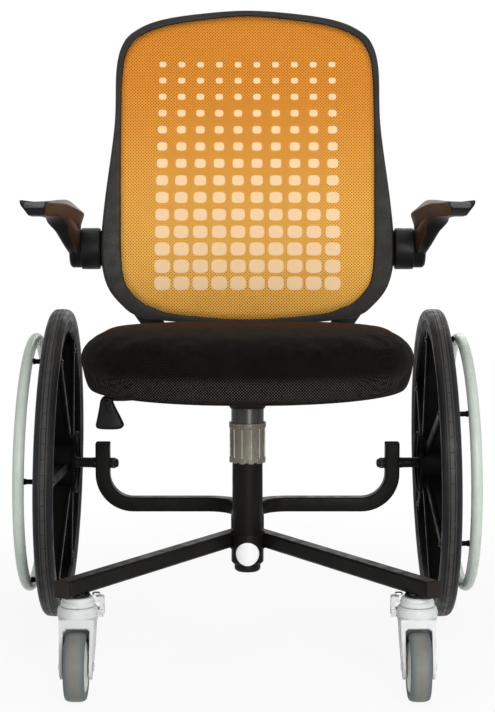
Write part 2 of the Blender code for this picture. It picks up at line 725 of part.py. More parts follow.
def drive_wheel(word, side, chair):
    """One wheel: moulded centre, tyre, push rim, stand-offs, cap and bearings."""
    holder = wheel_holder("wheel_axis_" + word, side, chair)
    seat_radius = BEARING_RADIUS + CLEARANCE
    centre = turned("wheel_" + word, [
        (seat_radius, HUB_OUTER_END),
        (HUB_RADIUS, HUB_OUTER_END),
        (HUB_RADIUS, HUB_DRUM_HIGH + 0.004),
        (HUB_DRUM_RADIUS, HUB_DRUM_HIGH),
        (HUB_DRUM_RADIUS, HUB_DRUM_LOW),
        (HUB_RADIUS, HUB_DRUM_LOW - 0.006),
        (HUB_RADIUS, HUB_INNER_END),
        (seat_radius, HUB_INNER_END),
    ], "wheel_plastic", holder, steps=HUB_STEPS)
    spokes = bmesh.new()
    for angle in spoke_angles(side):
        rows = [[spokes.verts.new(point) for point in ring] for ring in spoke_rings(angle)]
        bridge(spokes, rows, False, True)
    bmesh.ops.recalc_face_normals(spokes, faces=spokes.faces)
    spoke_set = place("spokes_" + word, mesh_from("spokes", spokes), None, holder)
    half = RIM_WIDTH / 2
    groove = half - RIM_LIP_THICKNESS
    rim = turned("rim_" + word, [
        (RIM_SEAT_RADIUS, groove),
        (RIM_SEAT_RADIUS + RIM_LIP, groove),
        (RIM_SEAT_RADIUS + RIM_LIP, half),
        (RIM_INNER_RADIUS, half),
        (RIM_INNER_RADIUS, -half),
        (RIM_SEAT_RADIUS + RIM_LIP, -half),
        (RIM_SEAT_RADIUS + RIM_LIP, -groove),
        (RIM_SEAT_RADIUS, -groove),
    ], None, holder, steps=WHEEL_STEPS)
    join(centre, spoke_set, rim)

    tyre_half = TYRE_WIDTH / 2
    base = groove - CLEARANCE
    shoulder = RIM_SEAT_RADIUS + RIM_LIP + CLEARANCE
    side_profile = [
        (WHEEL_RADIUS, TREAD_WIDTH / 2),
        (WHEEL_RADIUS - 0.009, tyre_half),
        (shoulder, half - RIM_LIP_THICKNESS / 3),
        (shoulder, base),
        (RIM_SEAT_RADIUS + CLEARANCE, base),
    ]
    turned("tyre_" + word, side_profile + [(r, -z) for r, z in reversed(side_profile)],
           "tyre_rubber", holder, steps=WHEEL_STEPS)

    hoop = arc((HANDRIM_RADIUS, HANDRIM_OFFSET), HANDRIM_TUBE_RADIUS, 0,
               360 - 360 / HANDRIM_SIDES, HANDRIM_SIDES - 1)
    turned("handrim_" + word, hoop, "handrim_coat", holder, steps=WHEEL_STEPS)

    foot_level = RIM_WIDTH / 2 - 0.004
    tube_level = HANDRIM_OFFSET - HANDRIM_TUBE_RADIUS - CLEARANCE
    feet = [
        (HANDRIM_RADIUS * math.cos(angle), HANDRIM_RADIUS * math.sin(angle), foot_level)
        for angle in spoke_angles(side)
    ]
    pegs_mesh = pegs("posts", feet, tube_level - foot_level, STANDOFF_RADIUS)
    posts = place("posts_" + word, pegs_mesh, None, holder)
    join(centre, posts)

    cap_low = HUB_OUTER_END + CLEARANCE
    turned("hub_cap_" + word, [
        (0, cap_low + HUB_CAP_HEIGHT),
        (HUB_CAP_RADIUS * 0.7, cap_low + HUB_CAP_HEIGHT * 0.85),
        (HUB_CAP_RADIUS, cap_low + HUB_CAP_HEIGHT * 0.3),
        (HUB_CAP_RADIUS, cap_low),
        (seat_radius - 2 * CLEARANCE, cap_low),
        (seat_radius - 2 * CLEARANCE, cap_low - 0.003),
        (AXLE_HEAD_RADIUS + 2 * CLEARANCE, cap_low - 0.003),
        (AXLE_HEAD_RADIUS + 2 * CLEARANCE, cap_low),
        (0, cap_low),
    ], "black_plastic", holder)
    return holder


def wheel_bearings(word, holder):
    """The sealed bearing cartridge in a wheel's hub."""
    bore = AXLE_RADIUS + CLEARANCE
    outer_end = HUB_OUTER_END - AXLE_HEAD_HEIGHT
    turned("wheel_bearings_" + word, [
        (bore, outer_end),
        (BEARING_RADIUS, outer_end),
        (BEARING_RADIUS, HUB_INNER_END),
        (bore, HUB_INNER_END),
    ], "bright_steel", holder)


def axles(chair):
    """Axle bolts and the spacers between wheel and arm."""
    arm_half = TUBE_SIZE / 2 / math.cos(CAMBER) + AXLE_HEAD_RADIUS * math.sin(CAMBER)
    plate = -(HUB_SPAN - ARM_PLATE_X) / math.cos(CAMBER)
    arm_out = plate + arm_half + CLEARANCE
    head_face = HUB_OUTER_END - AXLE_HEAD_HEIGHT + CLEARANCE
    tip = plate - arm_half - AXLE_END
    thread_gap = AXLE_RADIUS + CLEARANCE
    for word, side in SIDES.items():
        holder = wheel_holder("axle_line_" + word, side, chair)
        turned("wheel_axle_" + word, [
            (0, head_face + AXLE_HEAD_HEIGHT - 2 * CLEARANCE),
            (AXLE_HEAD_RADIUS, head_face + AXLE_HEAD_HEIGHT - 2 * CLEARANCE),
            (AXLE_HEAD_RADIUS, head_face),
            (AXLE_RADIUS, head_face),
            (AXLE_RADIUS, tip + 0.001),
            (AXLE_RADIUS - 0.001, tip),
            (0, tip),
        ], "zinc", holder)
        shoulder = HUB_INNER_END - CLEARANCE
        turned("axle_spacer_" + word, [
            (thread_gap, shoulder),
            (SPACER_RADIUS, shoulder),
            (SPACER_RADIUS, arm_out),
            (thread_gap, arm_out),
        ], "powder_coat", holder)


# Casters, built about the stem: local Z is up and the wheel stands at -Y

def caster_holder(name, side, chair, height=0.0):
    """Empty on a caster's swivel axis."""
    return empty(name, (side * STEM_X, STEM_Y, height), (0, 0, 0), chair)


def caster_fixings(chair):
    """Head ring and flanged stem, fixed to each leg."""
    bore = STEM_RADIUS + CLEARANCE
    stud_top = LEG_BOTTOM + STEM_STUD
    for word, side in SIDES.items():
        holder = caster_holder("stem_line_" + word, side, chair)
        turned("caster_head_" + word, [
            (bore, HEAD_RING_TOP),
            (HEAD_RING_RADIUS - 0.002, HEAD_RING_TOP),
            (HEAD_RING_RADIUS, HEAD_RING_BOTTOM),
            (bore, HEAD_RING_BOTTOM),
        ], "caster_grey", holder, steps=CASTER_STEPS)
        turned("caster_stem_" + word, [
            (0, stud_top),
            (STEM_STUD_RADIUS, stud_top),
            (STEM_STUD_RADIUS, LEG_BOTTOM - CLEARANCE),
            (STEM_FLANGE_RADIUS, LEG_BOTTOM - CLEARANCE),
            (STEM_FLANGE_RADIUS, HEAD_RING_TOP + CLEARANCE),
            (STEM_RADIUS, HEAD_RING_TOP + CLEARANCE),
            (STEM_RADIUS, FORK_ROOF - RUNNING_GAP),
            (STEM_COLLAR_RADIUS, FORK_ROOF - RUNNING_GAP),
            (STEM_COLLAR_RADIUS, FORK_ROOF - RUNNING_GAP - STEM_COLLAR_HEIGHT),
            (0, FORK_ROOF - RUNNING_GAP - STEM_COLLAR_HEIGHT),
        ], "zinc", holder)


def fork_side_outline():
    """Side view of the fork: from the head it leans forward to the wheel's axle."""
    boss = (-CASTER_TRAIL, CASTER_RADIUS)
    back = FORK_HEAD_RADIUS - 0.0015
    points = [(back, FORK_SHOULDER), (-back, FORK_SHOULDER)]
    points.append((-back - 0.004, FORK_SHOULDER - 0.018))
    points += arc(boss, FORK_BOSS_RADIUS, 172, 330, 6)
    points.append((back - 0.013, FORK_SHOULDER - 0.045))
    points.append((back - 0.002, FORK_SHOULDER - 0.020))
    return points


def caster(word, side, chair):
    """One caster: fork with its lock lever, axle, hub and tyre."""
    swivel = caster_holder("swivel_axis_" + word, side, chair)
    shoulder_step = 0.0025
    fork = turned("caster_fork_" + word, [
        (0, FORK_TOP),
        (FORK_HEAD_RADIUS - shoulder_step, FORK_TOP),
        (FORK_HEAD_RADIUS, FORK_TOP - 0.005),
        (FORK_HEAD_RADIUS, FORK_SHOULDER),
        (FORK_CHEEK_HALF - 0.001, FORK_ROOF - 0.010),
        (0, FORK_ROOF - 0.010),
    ], "caster_grey", swivel, steps=CASTER_STEPS)
    cheeks = extruded("cheeks_" + word, fork_side_outline(), FORK_CHEEK_HALF * 2, None, swivel,
                      rotation=(math.pi / 2, 0, math.pi / 2))
    narrow_down(cheeks)
    slot_low = CASTER_RADIUS - FORK_BOSS_RADIUS - 0.02
    slot = box("slot_" + word, (2 * FORK_SLOT_HALF, 0.2, FORK_ROOF - slot_low), None, swivel,
               (0, 0, (FORK_ROOF + slot_low) / 2), bevel=0.004, segments=1)
    axle_turn = (0, math.pi / 2, 0)
    axle_at = (0, -CASTER_TRAIL, CASTER_RADIUS)
    axle_hole = turned("fork_axle_hole_" + word,
                       cylinder_profile(CASTER_AXLE_RADIUS + CLEARANCE, -0.04, 0.04),
                       None, swivel, location=axle_at, rotation=axle_turn)
    stem_bore = turned("stem_bore_" + word,
                       cylinder_profile(STEM_RADIUS + RUNNING_GAP, FORK_ROOF - 0.02, FORK_TOP + 0.02),
                       None, swivel)
    join(fork, cheeks, fork_ears(word, side, swivel))
    cut(fork, slot, stem_bore, axle_hole)
    caster_axle(word, axle_at, axle_turn, swivel)
    lock_pin_hole = turned("ear_hole_" + word,
                           cylinder_profile(LOCK_PIN_RADIUS + CLEARANCE, -0.04, 0.04), None, swivel,
                           steps=12, location=(-side * LOCK_X, LOCK_BACK, LOCK_Z),
                           rotation=(math.pi / 2, 0, 0))
    cut(fork, lock_pin_hole)
    lock_lever(word, side, swivel)
    spin = empty("caster_spin_axis_" + word, axle_at, axle_turn, swivel)
    caster_wheel(word, spin)


def narrow_down(cheeks):
    """Narrows the cheeks evenly from the fork's shoulder down.  Their own Y is the height."""
    slope = (1 - FORK_AXLE_HALF / FORK_CHEEK_HALF) / (FORK_SHOULDER - CASTER_RADIUS)
    for vert in cheeks.data.vertices:
        vert.co.z *= 1 - slope * (FORK_SHOULDER - vert.co.y)


def fork_ears(word, side, swivel):
    """Two ears on the fork's inner cheek that hold the lock lever's pin."""
    inner_x = FORK_CHEEK_HALF - 0.004
    outer_x = LOCK_X + LOCK_THICKNESS / 2
    size = (outer_x - inner_x, LOCK_EAR, 0.010)
    x = -side * (inner_x + outer_x) / 2
    reach = LOCK_WIDTH / 2 + CLEARANCE + LOCK_EAR / 2
    first = box("ear_front_" + word, size, None, swivel, (x, LOCK_BACK - reach, LOCK_Z))
    second = box("ear_back_" + word, size, None, swivel, (x, LOCK_BACK + reach, LOCK_Z))
    join(first, second)
    return first


def caster_axle(word, location, rotation, swivel):
    """The wheel's axle, riveted over both cheeks of the fork."""
    reach = FORK_AXLE_HALF + CLEARANCE
    turned("caster_axle_" + word, [
        (0, reach + 0.002),
        (CASTER_AXLE_HEAD - 0.002, reach + 0.002),
        (CASTER_AXLE_HEAD, reach),
        (CASTER_AXLE_RADIUS, reach),
        (CASTER_AXLE_RADIUS, -reach),
        (CASTER_AXLE_HEAD, -reach),
        (CASTER_AXLE_HEAD - 0.002, -reach - 0.002),
        (0, -reach - 0.002),
    ], "zinc", swivel, location=location, rotation=rotation)


def lock_lever(word, side, swivel):
    """Small lever that tips off the fork's head to free the swivel."""
    pivot = empty("lock_axis_" + word, (-side * LOCK_X, LOCK_BACK, LOCK_Z), (0, 0, 0), swivel)
    half = LOCK_THICKNESS / 2
    top = LOCK_TOP - LOCK_Z
    outline = [
        (half - 0.002, -0.0046), (half, -0.002), (half, top - 0.002), (half - 0.002, top),
        (-half - LOCK_HOOK, top), (-half - LOCK_HOOK, top - 0.0085),
        (-half, top - 0.0085), (-half, -0.0012), (-half + 0.0022, -0.0046),
    ]
    outline = [(-side * x, z) for x, z in outline]
    lever = extruded("caster_lock_" + word, outline, LOCK_WIDTH, "caster_grey", pivot,
                     rotation=(math.pi / 2, 0, 0))
    reach = LOCK_WIDTH / 2 + CLEARANCE + LOCK_EAR
    trunnions = turned("lock_pins_" + word, cylinder_profile(LOCK_PIN_RADIUS, -reach, reach), None,
                       pivot, steps=12, rotation=(math.pi / 2, 0, 0))
    join(lever, trunnions)


def caster_wheel(word, spin):
    """Caster hub with its domed faces, and the tyre on it."""
    seat = CASTER_RADIUS - CASTER_TYRE_HEIGHT
    half = CASTER_WIDTH / 2
    bore = CASTER_AXLE_RADIUS + CLEARANCE
    face = [
        (bore, CASTER_HUB_HALF),
        (seat * 0.45, CASTER_HUB_HALF),
        (seat - CLEARANCE, half - 0.003),
    ]
    turned("caster_hub_" + word, face + [(r, -z) for r, z in reversed(face)], "caster_cream", spin,
           steps=CASTER_STEPS)
    side_profile = [
        (CASTER_RADIUS, CASTER_TREAD / 2),
        (CASTER_RADIUS - 0.0050, half - 0.0006),
        (seat, half - 0.002),
    ]
    turned("caster_tyre_" + word, side_profile + [(r, -z) for r, z in reversed(side_profile)],
           "caster_rubber", spin, steps=CASTER_STEPS)


# Lift and seat

def piston(chair):
    """Piston rod, which stands on the thrust bearing and turns with the seat."""
    seat_on = HUB_SLEEVE_BOTTOM + BEARING_PLATE + THRUST_HEIGHT + 2 * CLEARANCE
    wide = GAS_CYLINDER_RADIUS - 0.0025
    head_low = GAS_CYLINDER_BOTTOM + LIFT_STROKE + 0.012
    turned("piston_rod", [
        (0, head_low + 0.010),
        (wide, head_low + 0.010),
        (wide, head_low),
        (PISTON_RADIUS, head_low),
        (PISTON_RADIUS, seat_on + 0.003),
        (PISTON_RADIUS * 2.2, seat_on + 0.003),
        (PISTON_RADIUS * 2.2, seat_on),
        (PISTON_RADIUS, seat_on),
        (PISTON_RADIUS, HUB_SLEEVE_BOTTOM + 0.0005),
        (0, HUB_SLEEVE_BOTTOM + 0.0005),
    ], "bright_steel", chair)


def gas_cylinder(chair):
    """Cylinder that slides over the piston and lifts the seat, and the cover round it."""
    wall = 0.0020
    inner = GAS_CYLINDER_RADIUS - wall
    mouth = PISTON_RADIUS + RUNNING_GAP
    turned("gas_cylinder", [
        (VALVE_RADIUS + RUNNING_GAP, GAS_CYLINDER_TOP),
        (GAS_CYLINDER_RADIUS - 0.0015, GAS_CYLINDER_TOP),
        (GAS_CYLINDER_RADIUS, GAS_CYLINDER_TOP - 0.030),
        (GAS_CYLINDER_RADIUS, GAS_CYLINDER_BOTTOM),
        (mouth, GAS_CYLINDER_BOTTOM),
        (mouth, GAS_CYLINDER_BOTTOM + 0.006),
        (inner, GAS_CYLINDER_BOTTOM + 0.006),
        (inner, GAS_CYLINDER_TOP - 0.030),
        (VALVE_RADIUS + RUNNING_GAP, GAS_CYLINDER_TOP - 0.030),
    ], "bright_steel", chair)
    turned("release_pin", cylinder_profile(VALVE_RADIUS, GAS_CYLINDER_TOP - VALVE_PIN_DEPTH,
                                           LEVER_LEVEL - LEVER_RADIUS - CLEARANCE),
           "bright_steel", chair)
    outer = COLUMN_RADIUS + RUNNING_GAP + COVER_WALL
    turned("lift_cover", [
        (GAS_CYLINDER_RADIUS + CLEARANCE, COVER_TOP),
        (outer, COVER_TOP),
        (outer, COLLAR_BOTTOM + COLLAR_LIP + RUNNING_GAP),
        (outer - COVER_WALL, COLLAR_BOTTOM + COLLAR_LIP + RUNNING_GAP),
        (outer - COVER_WALL, COVER_TOP - 0.002),
        (GAS_CYLINDER_RADIUS + CLEARANCE, COVER_TOP - 0.002),
    ], "gloss_black", chair, steps=COLUMN_STEPS)


def superellipse(half_x, half_y, middle_y, points, squareness):
    """Plan of the seat: a ring between an ellipse and a rectangle."""
    ring = []
    power = 2 / squareness
    for k in range(points):
        a = 2 * math.pi * k / points
        c, s = math.cos(a), math.sin(a)
        ring.append((
            half_x * math.copysign(abs(c) ** power, c),
            middle_y + half_y * math.copysign(abs(s) ** power, s),
        ))
    return ring


def board(name, finish, parent, grow, low, high):
    """The seat board's form, or with a finish left out and some growth, the room for it."""
    rings = []
    for z, inset in ((low, 0.002), (low + 0.002, 0.0), (high, 0.0)):
        half_x, half_y = PAN_HALF_WIDTH + grow - inset, PAN_HALF_DEPTH + grow - inset
        plan = superellipse(half_x, half_y, SEAT_Y, 2 * RING_POINTS, PAN_SQUARENESS)
        rings.append([(x, y, z) for x, y in plan])
    return loft(name, rings, finish, parent)


def seat(chair):
    """Seat board and the cushion that wraps its edge."""
    board("seat_pan", "plywood", chair, 0.0, PAN_BOTTOM, PAN_TOP)
    rise = SEAT_CROWN - SEAT_WIDEST
    drop = SEAT_WIDEST - SEAT_BOTTOM
    levels = [                  # insets from the widest plan, level and squareness
        (0.092, 0.080, SEAT_BOTTOM, 2.3),
        (0.038, 0.030, SEAT_BOTTOM, 2.3),
        (0.0225, 0.0115, SEAT_BOTTOM + 0.0035, 2.3),
        (0.008, 0.002, SEAT_WIDEST - 0.46 * drop, 2.45),
        (-0.001, -0.004, SEAT_WIDEST, 2.6),
        (0.0065, 0.0045, SEAT_WIDEST + 0.55 * rise, 2.75),
        (0.027, 0.027, SEAT_WIDEST + 0.87 * rise, 2.9),
        (0.085, 0.080, SEAT_CROWN - 0.0005, 2.9),
        (0.200, 0.165, SEAT_CROWN + 0.0005, 2.9),
    ]
    rings = []
    for inset_x, inset_y, z, squareness in levels:
        half_x = SEAT_HALF_WIDTH + SEAT_SOFTENING - inset_x
        half_y = SEAT_HALF_DEPTH + SEAT_SOFTENING - inset_y
        rings.append([(x, y, z) for x, y in superellipse(half_x, half_y, SEAT_Y, RING_POINTS, squareness)])
    cushion = loft("seat_cushion", rings, "seat_fabric", chair)
    soft = cushion.modifiers.new("soft", "SUBSURF")
    soft.levels = soft.render_levels = 1
    cut(cushion, board("board_room", None, chair, SOFT_GAP, SEAT_BOTTOM - 0.02, PAN_TOP + SOFT_GAP))


def mechanism(chair):
    """Pressed housing under the board that holds the cylinder's top and the lever."""
    plate_top = PAN_BOTTOM - CLEARANCE
    plate_low = plate_top - PLATE_THICKNESS
    body = box("seat_mechanism", (PLATE_WIDTH, PLATE_DEPTH, PLATE_THICKNESS), "powder_coat", chair,
               (0, 0, plate_top - PLATE_THICKNESS / 2))
    height = plate_low - HOUSING_BOTTOM + 0.001
    housing_rings = []
    for level, shrink in ((HOUSING_BOTTOM, 0.020), (HOUSING_BOTTOM + 0.008, 0.006),
                          (HOUSING_BOTTOM + height, 0.0)):
        outline = rounded_rectangle(HOUSING_WIDTH - shrink, HOUSING_DEPTH - shrink, 0.012, 2)
        housing_rings.append([(x, y, level) for x, y in outline])
    housing = loft("housing", housing_rings, None, chair)
    socket = turned("socket", cylinder_profile(GAS_CYLINDER_RADIUS + CLEARANCE, 0.37,
                                               GAS_CYLINDER_TOP + CLEARANCE), None, chair)
    lever_top = LEVER_LEVEL + LEVER_RADIUS + 0.0022
    room_low = GAS_CYLINDER_TOP - 0.002
    room = box("lever_room", (HOUSING_WIDTH / 2 + 0.030, 0.016, lever_top - room_low), None, chair,
               (0.012 - (HOUSING_WIDTH / 2 + 0.030) / 2, 0, (lever_top + room_low) / 2))
    pivot_hole = turned("pivot_hole", cylinder_profile(0.0025 + CLEARANCE, -0.012, 0.012), None, chair,
                        steps=12, location=(LEVER_PIVOT_X, 0, LEVER_LEVEL), rotation=(math.pi / 2, 0, 0))
    join(body, housing)
    cut(body, socket, room, pivot_hole)


def lever(chair):
    """Height lever: a bent rod on a cross pin, with a fan-shaped paddle to pull up."""
    pivot = empty("lever_axis", (LEVER_PIVOT_X, 0, LEVER_LEVEL), (0, 0, 0), chair)
    end = Vector(LEVER_END) - Vector(pivot.location)
    start_x = -LEVER_PIVOT_X + 0.006
    path = smooth_through([
        (start_x, 0, 0), (0.0, 0, 0), (-0.040, 0, 0),
        (end.x * 0.62, end.y * 0.7, end.z * 0.7), (end.x * 0.85, end.y, end.z), tuple(end),
    ], False, 2)
    rod = along("height_lever", [tuple(p) for p in path], "powder_coat", pivot,
                radius=LEVER_RADIUS, sides=1)
    cross = turned("lever_pin", cylinder_profile(0.0025, -0.0115, 0.0115), None, pivot, steps=12,
                   rotation=(math.pi / 2, 0, 0))
    join(rod, cross)
    top = end.z - LEVER_RADIUS * 2.0
    widths = [
        (PADDLE_TOP_WIDTH * 0.62, 0.0145, end.z + LEVER_RADIUS + 0.0006),
        (PADDLE_TOP_WIDTH * 0.70, 0.0150, end.z - LEVER_RADIUS),
        (PADDLE_TOP_WIDTH, 0.0130, top - 0.002),
        (PADDLE_TOP_WIDTH + 0.008, 0.0135, top - PADDLE_DROP * 0.35),
        (PADDLE_WIDTH - 0.003, PADDLE_THICKNESS, top - PADDLE_DROP * 0.72),
        (PADDLE_WIDTH, PADDLE_THICKNESS, top - PADDLE_DROP * 0.84),
        (PADDLE_WIDTH - 0.008, PADDLE_THICKNESS - 0.004, top - PADDLE_DROP * 0.90),
    ]
    rings = []
    for width, thick, level in widths:
        outline = rounded_rectangle(width, thick, min(thick, width) * 0.32, 2)
        rings.append([(end.x + x, end.y + y, level) for x, y in outline])
    paddle = loft("lever_paddle", rings, "black_plastic", pivot)
    past = path[-1] + (path[-1] - path[-2]).normalized() * 0.003
    grip = along("paddle_bore", [tuple(p) for p in (*path[-3:], past)], None, pivot,
                 radius=LEVER_RADIUS + CLEARANCE, sides=1)
    cut(paddle, grip)


# Back

def back_depth(x, z):
    """Y of the back's front face at a point of the front view."""
    t = (z - BACK_BOTTOM) / (BACK_TOP - BACK_BOTTOM)
    t = max(0.0, min(1.0, t))
    lean = BACK_RECLINE * t ** 1.7 - BACK_LUMBAR * math.sin(math.pi * t)
    across = min(1.0, abs(x) / BACK_HALF_WIDTH)
    return BACK_FOOT_Y + lean + BACK_WRAP * (1 - across ** 2)


def back_stations(steps=2):
    """Outer and inner points of the back's frame, in step, all the way round."""
    half = [(*outer, *inner) for outer, inner in BACK_PROFILE]
    loop = half + [(-a, b, -c, d) for a, b, c, d in reversed(half[1:-1])]
    return [((p[0], p[1]), (p[2], p[3])) for p in smooth_through(loop, True, steps)]


def back_frame(chair):
    """Moulded frame of the back, wide at the armrests and thin at the top."""
    section = [(0.0, 0.0), (0.90, 0.0), (1.0, 0.16), (1.0, 0.80), (0.84, 1.0), (0.0, 1.0)]
    rings = []
    for outer, inner in back_stations():
        ring = []
        for across, deep in section:
            x = inner[0] + (outer[0] - inner[0]) * across
            z = inner[1] + (outer[1] - inner[1]) * across
            ring.append((x, back_depth(x, z) + deep * BACK_THICKNESS, z))
        rings.append(ring)
    return loft("back_frame", rings, "frame_plastic", chair, joined=True)


def back_mesh(chair):
    """Stretched net of the back, as a thin curved sheet."""
    middle = (0.0, (BACK_TOP + BACK_BOTTOM) / 2)
    net = bmesh.new()
    outline = [inner for outer, inner in back_stations()]
    rows = []
    for ring in range(MESH_RINGS):
        share = 1 - ring / MESH_RINGS
        row = []
        for x, z in outline:
            out = Vector((x - middle[0], z - middle[1]))
            out = out * (1 - MESH_INSET / out.length) * share
            x_here, z_here = middle[0] + out.x, middle[1] + out.y
            row.append(net.verts.new((x_here, back_depth(x_here, z_here) + BACK_THICKNESS * 0.35, z_here)))
        rows.append(row)
    bridge(net, rows, False, False)
    hub = net.verts.new((middle[0], back_depth(*middle) + BACK_THICKNESS * 0.35, middle[1]))
    last = rows[-1]
    for i, vert in enumerate(last):
        net.faces.new((vert, last[(i + 1) % len(last)], hub))
    bmesh.ops.recalc_face_normals(net, faces=net.faces)
    item = place("back_mesh", mesh_from("back_mesh", net), "orange_mesh", chair)
    wall = item.modifiers.new("wall", "SOLIDIFY")
    wall.thickness = MESH_THICKNESS
    wall.offset = 0
    return item


def behind_frame(x, z, width):
    """Y of the frame's back face, at its rearmost over a width."""
    return max(back_depth(side_x, z) for side_x in (x - width / 2, x + width / 2)) + BACK_THICKNESS


def yoke_stations():
    """Middle line of one yoke leg: (x, y, z, tilt of its face) from the top down and forward."""
    under = SEAT_BOTTOM - YOKE_SEAT_GAP - YOKE_THICKNESS / 2
    stations = []
    for drop in (0.0, 0.5, 1.0):
        z = YOKE_HEAD_TOP - drop * (YOKE_HEAD_TOP - BACK_BOTTOM)
        x = YOKE_HEAD_X - (YOKE_HEAD_TOP - z) * YOKE_SLANT
        stations.append((x, behind_frame(x, z, YOKE_WIDTH) + YOKE_FRAME_GAP + YOKE_THICKNESS / 2, z, 0.0))
    rear = stations[-1][1]
    knee_x = YOKE_HEAD_X - (YOKE_HEAD_TOP - YOKE_KNEE_Z) * YOKE_SLANT
    bend = YOKE_KNEE_Z - under
    for degrees in (0, -30, -60, -90):
        angle = math.radians(degrees)
        stations.append((knee_x, rear - bend + bend * math.cos(angle), YOKE_KNEE_Z + bend * math.sin(angle),
                         -angle))
    stations.append((knee_x, YOKE_FRONT_Y, under, math.pi / 2))
    return stations


def back_yoke(chair):
    """Moulded yoke: two flat legs behind the back and a cross block under the board."""
    legs = []
    for word, side in SIDES.items():
        rings = []
        for x, y, z, tilt in yoke_stations():
            normal = Vector((0, math.cos(tilt), -math.sin(tilt)))
            spot = Vector((side * x, y, z))
            ring = []
            for across, deep in rounded_rectangle(YOKE_WIDTH, YOKE_THICKNESS, YOKE_THICKNESS * 0.35, 1):
                ring.append(spot + Vector((across, 0, 0)) + normal * deep)
            rings.append(ring)
        legs.append(loft("back_yoke" if not legs else "yoke_leg_" + word, rings,
                         None if legs else "frame_plastic", chair))
    low = yoke_stations()[-1][2] - YOKE_THICKNESS / 2 - 0.0004
    high = PAN_BOTTOM - CLEARANCE
    reach = yoke_stations()[-1][0] + YOKE_WIDTH / 2 + 0.0004
    block = box("yoke_block", (2 * reach, YOKE_BLOCK_DEPTH, high - low), None, chair,
                (0, YOKE_FRONT_Y + YOKE_BLOCK_DEPTH / 2 - 0.001, (low + high) / 2),
                bevel=0.002, segments=1)
    join(legs[0], legs[1], block)


# Armrests

def armrest_hub(word, side, chair):
    """Round pivot housing at the back's side, with the arm's stud and a bracket."""
    line = empty("armrest_line_" + word, (0, PIVOT_Y, PIVOT_Z), (0, side * math.pi / 2, 0), chair)
    stud_end = PIVOT_ARM_OUTER - 0.001
    hub = turned("armrest_hub_" + word, [
        (0, stud_end),
        (PIVOT_PIN_HEAD, stud_end),
        (PIVOT_PIN_HEAD, stud_end - PIVOT_HEAD_HEIGHT),
        (PIVOT_PIN_RADIUS, stud_end - PIVOT_HEAD_HEIGHT),
        (PIVOT_PIN_RADIUS, PIVOT_HUB_OUTER),
        (PIVOT_HUB_RADIUS, PIVOT_HUB_OUTER),
        (PIVOT_HUB_RADIUS, PIVOT_HUB_INNER + 0.006),
        (PIVOT_HUB_RADIUS - 0.006, PIVOT_HUB_INNER),
        (0, PIVOT_HUB_INNER),
    ], "black_plastic", line, steps=HUB_STEPS)
    front = max(
        back_depth(x, z) for x in (PIVOT_BRACKET_INNER, PIVOT_HUB_INNER)
        for z in (PIVOT_Z - PIVOT_BRACKET_HALF, PIVOT_Z, PIVOT_Z + PIVOT_BRACKET_HALF)
    ) + BACK_THICKNESS + CLEARANCE
    width = PIVOT_HUB_INNER + 0.012 - PIVOT_BRACKET_INNER
    plate = box("armrest_bracket_" + word, (width, PIVOT_BRACKET_THICKNESS, 2 * PIVOT_BRACKET_HALF), None,
                chair, (side * (PIVOT_BRACKET_INNER + width / 2), front + PIVOT_BRACKET_THICKNESS / 2,
                        PIVOT_Z), bevel=0.003, segments=1)
    join(hub, plate)


ARM_STRUT = (                   # strut from pivot to pad: x, y, z, half width, half thickness, tilt
    (0.2988, 0.206, 0.637, 0.0085, 0.0210, 20),
    (0.2995, 0.187, 0.660, 0.0098, 0.0350, 24),
    (0.3020, 0.158, 0.667, 0.0110, 0.0290, 28),
    (0.3085, 0.127, 0.6790, 0.0130, 0.0160, 30),
    (0.3160, 0.100, 0.6893, 0.0160, 0.0052, 14),
    (0.3240, 0.020, 0.6915, 0.0150, 0.0034, 0),
)

ARM_PAD = (                     # pad from front to back: y, inner x, outer x, inner drop
    (-0.0640, 0.3165, 0.3575, 0.002),
    (-0.0560, 0.3115, 0.3635, 0.000),
    (0.0000, 0.3065, 0.3600, 0.000),
    (0.0600, 0.2990, 0.3540, 0.001),
    (0.1100, 0.2900, 0.3480, 0.006),
    (0.1500, 0.2830, 0.3440, 0.014),
    (0.1800, 0.2830, 0.3400, 0.018),
    (0.1900, 0.2900, 0.3340, 0.018),
)


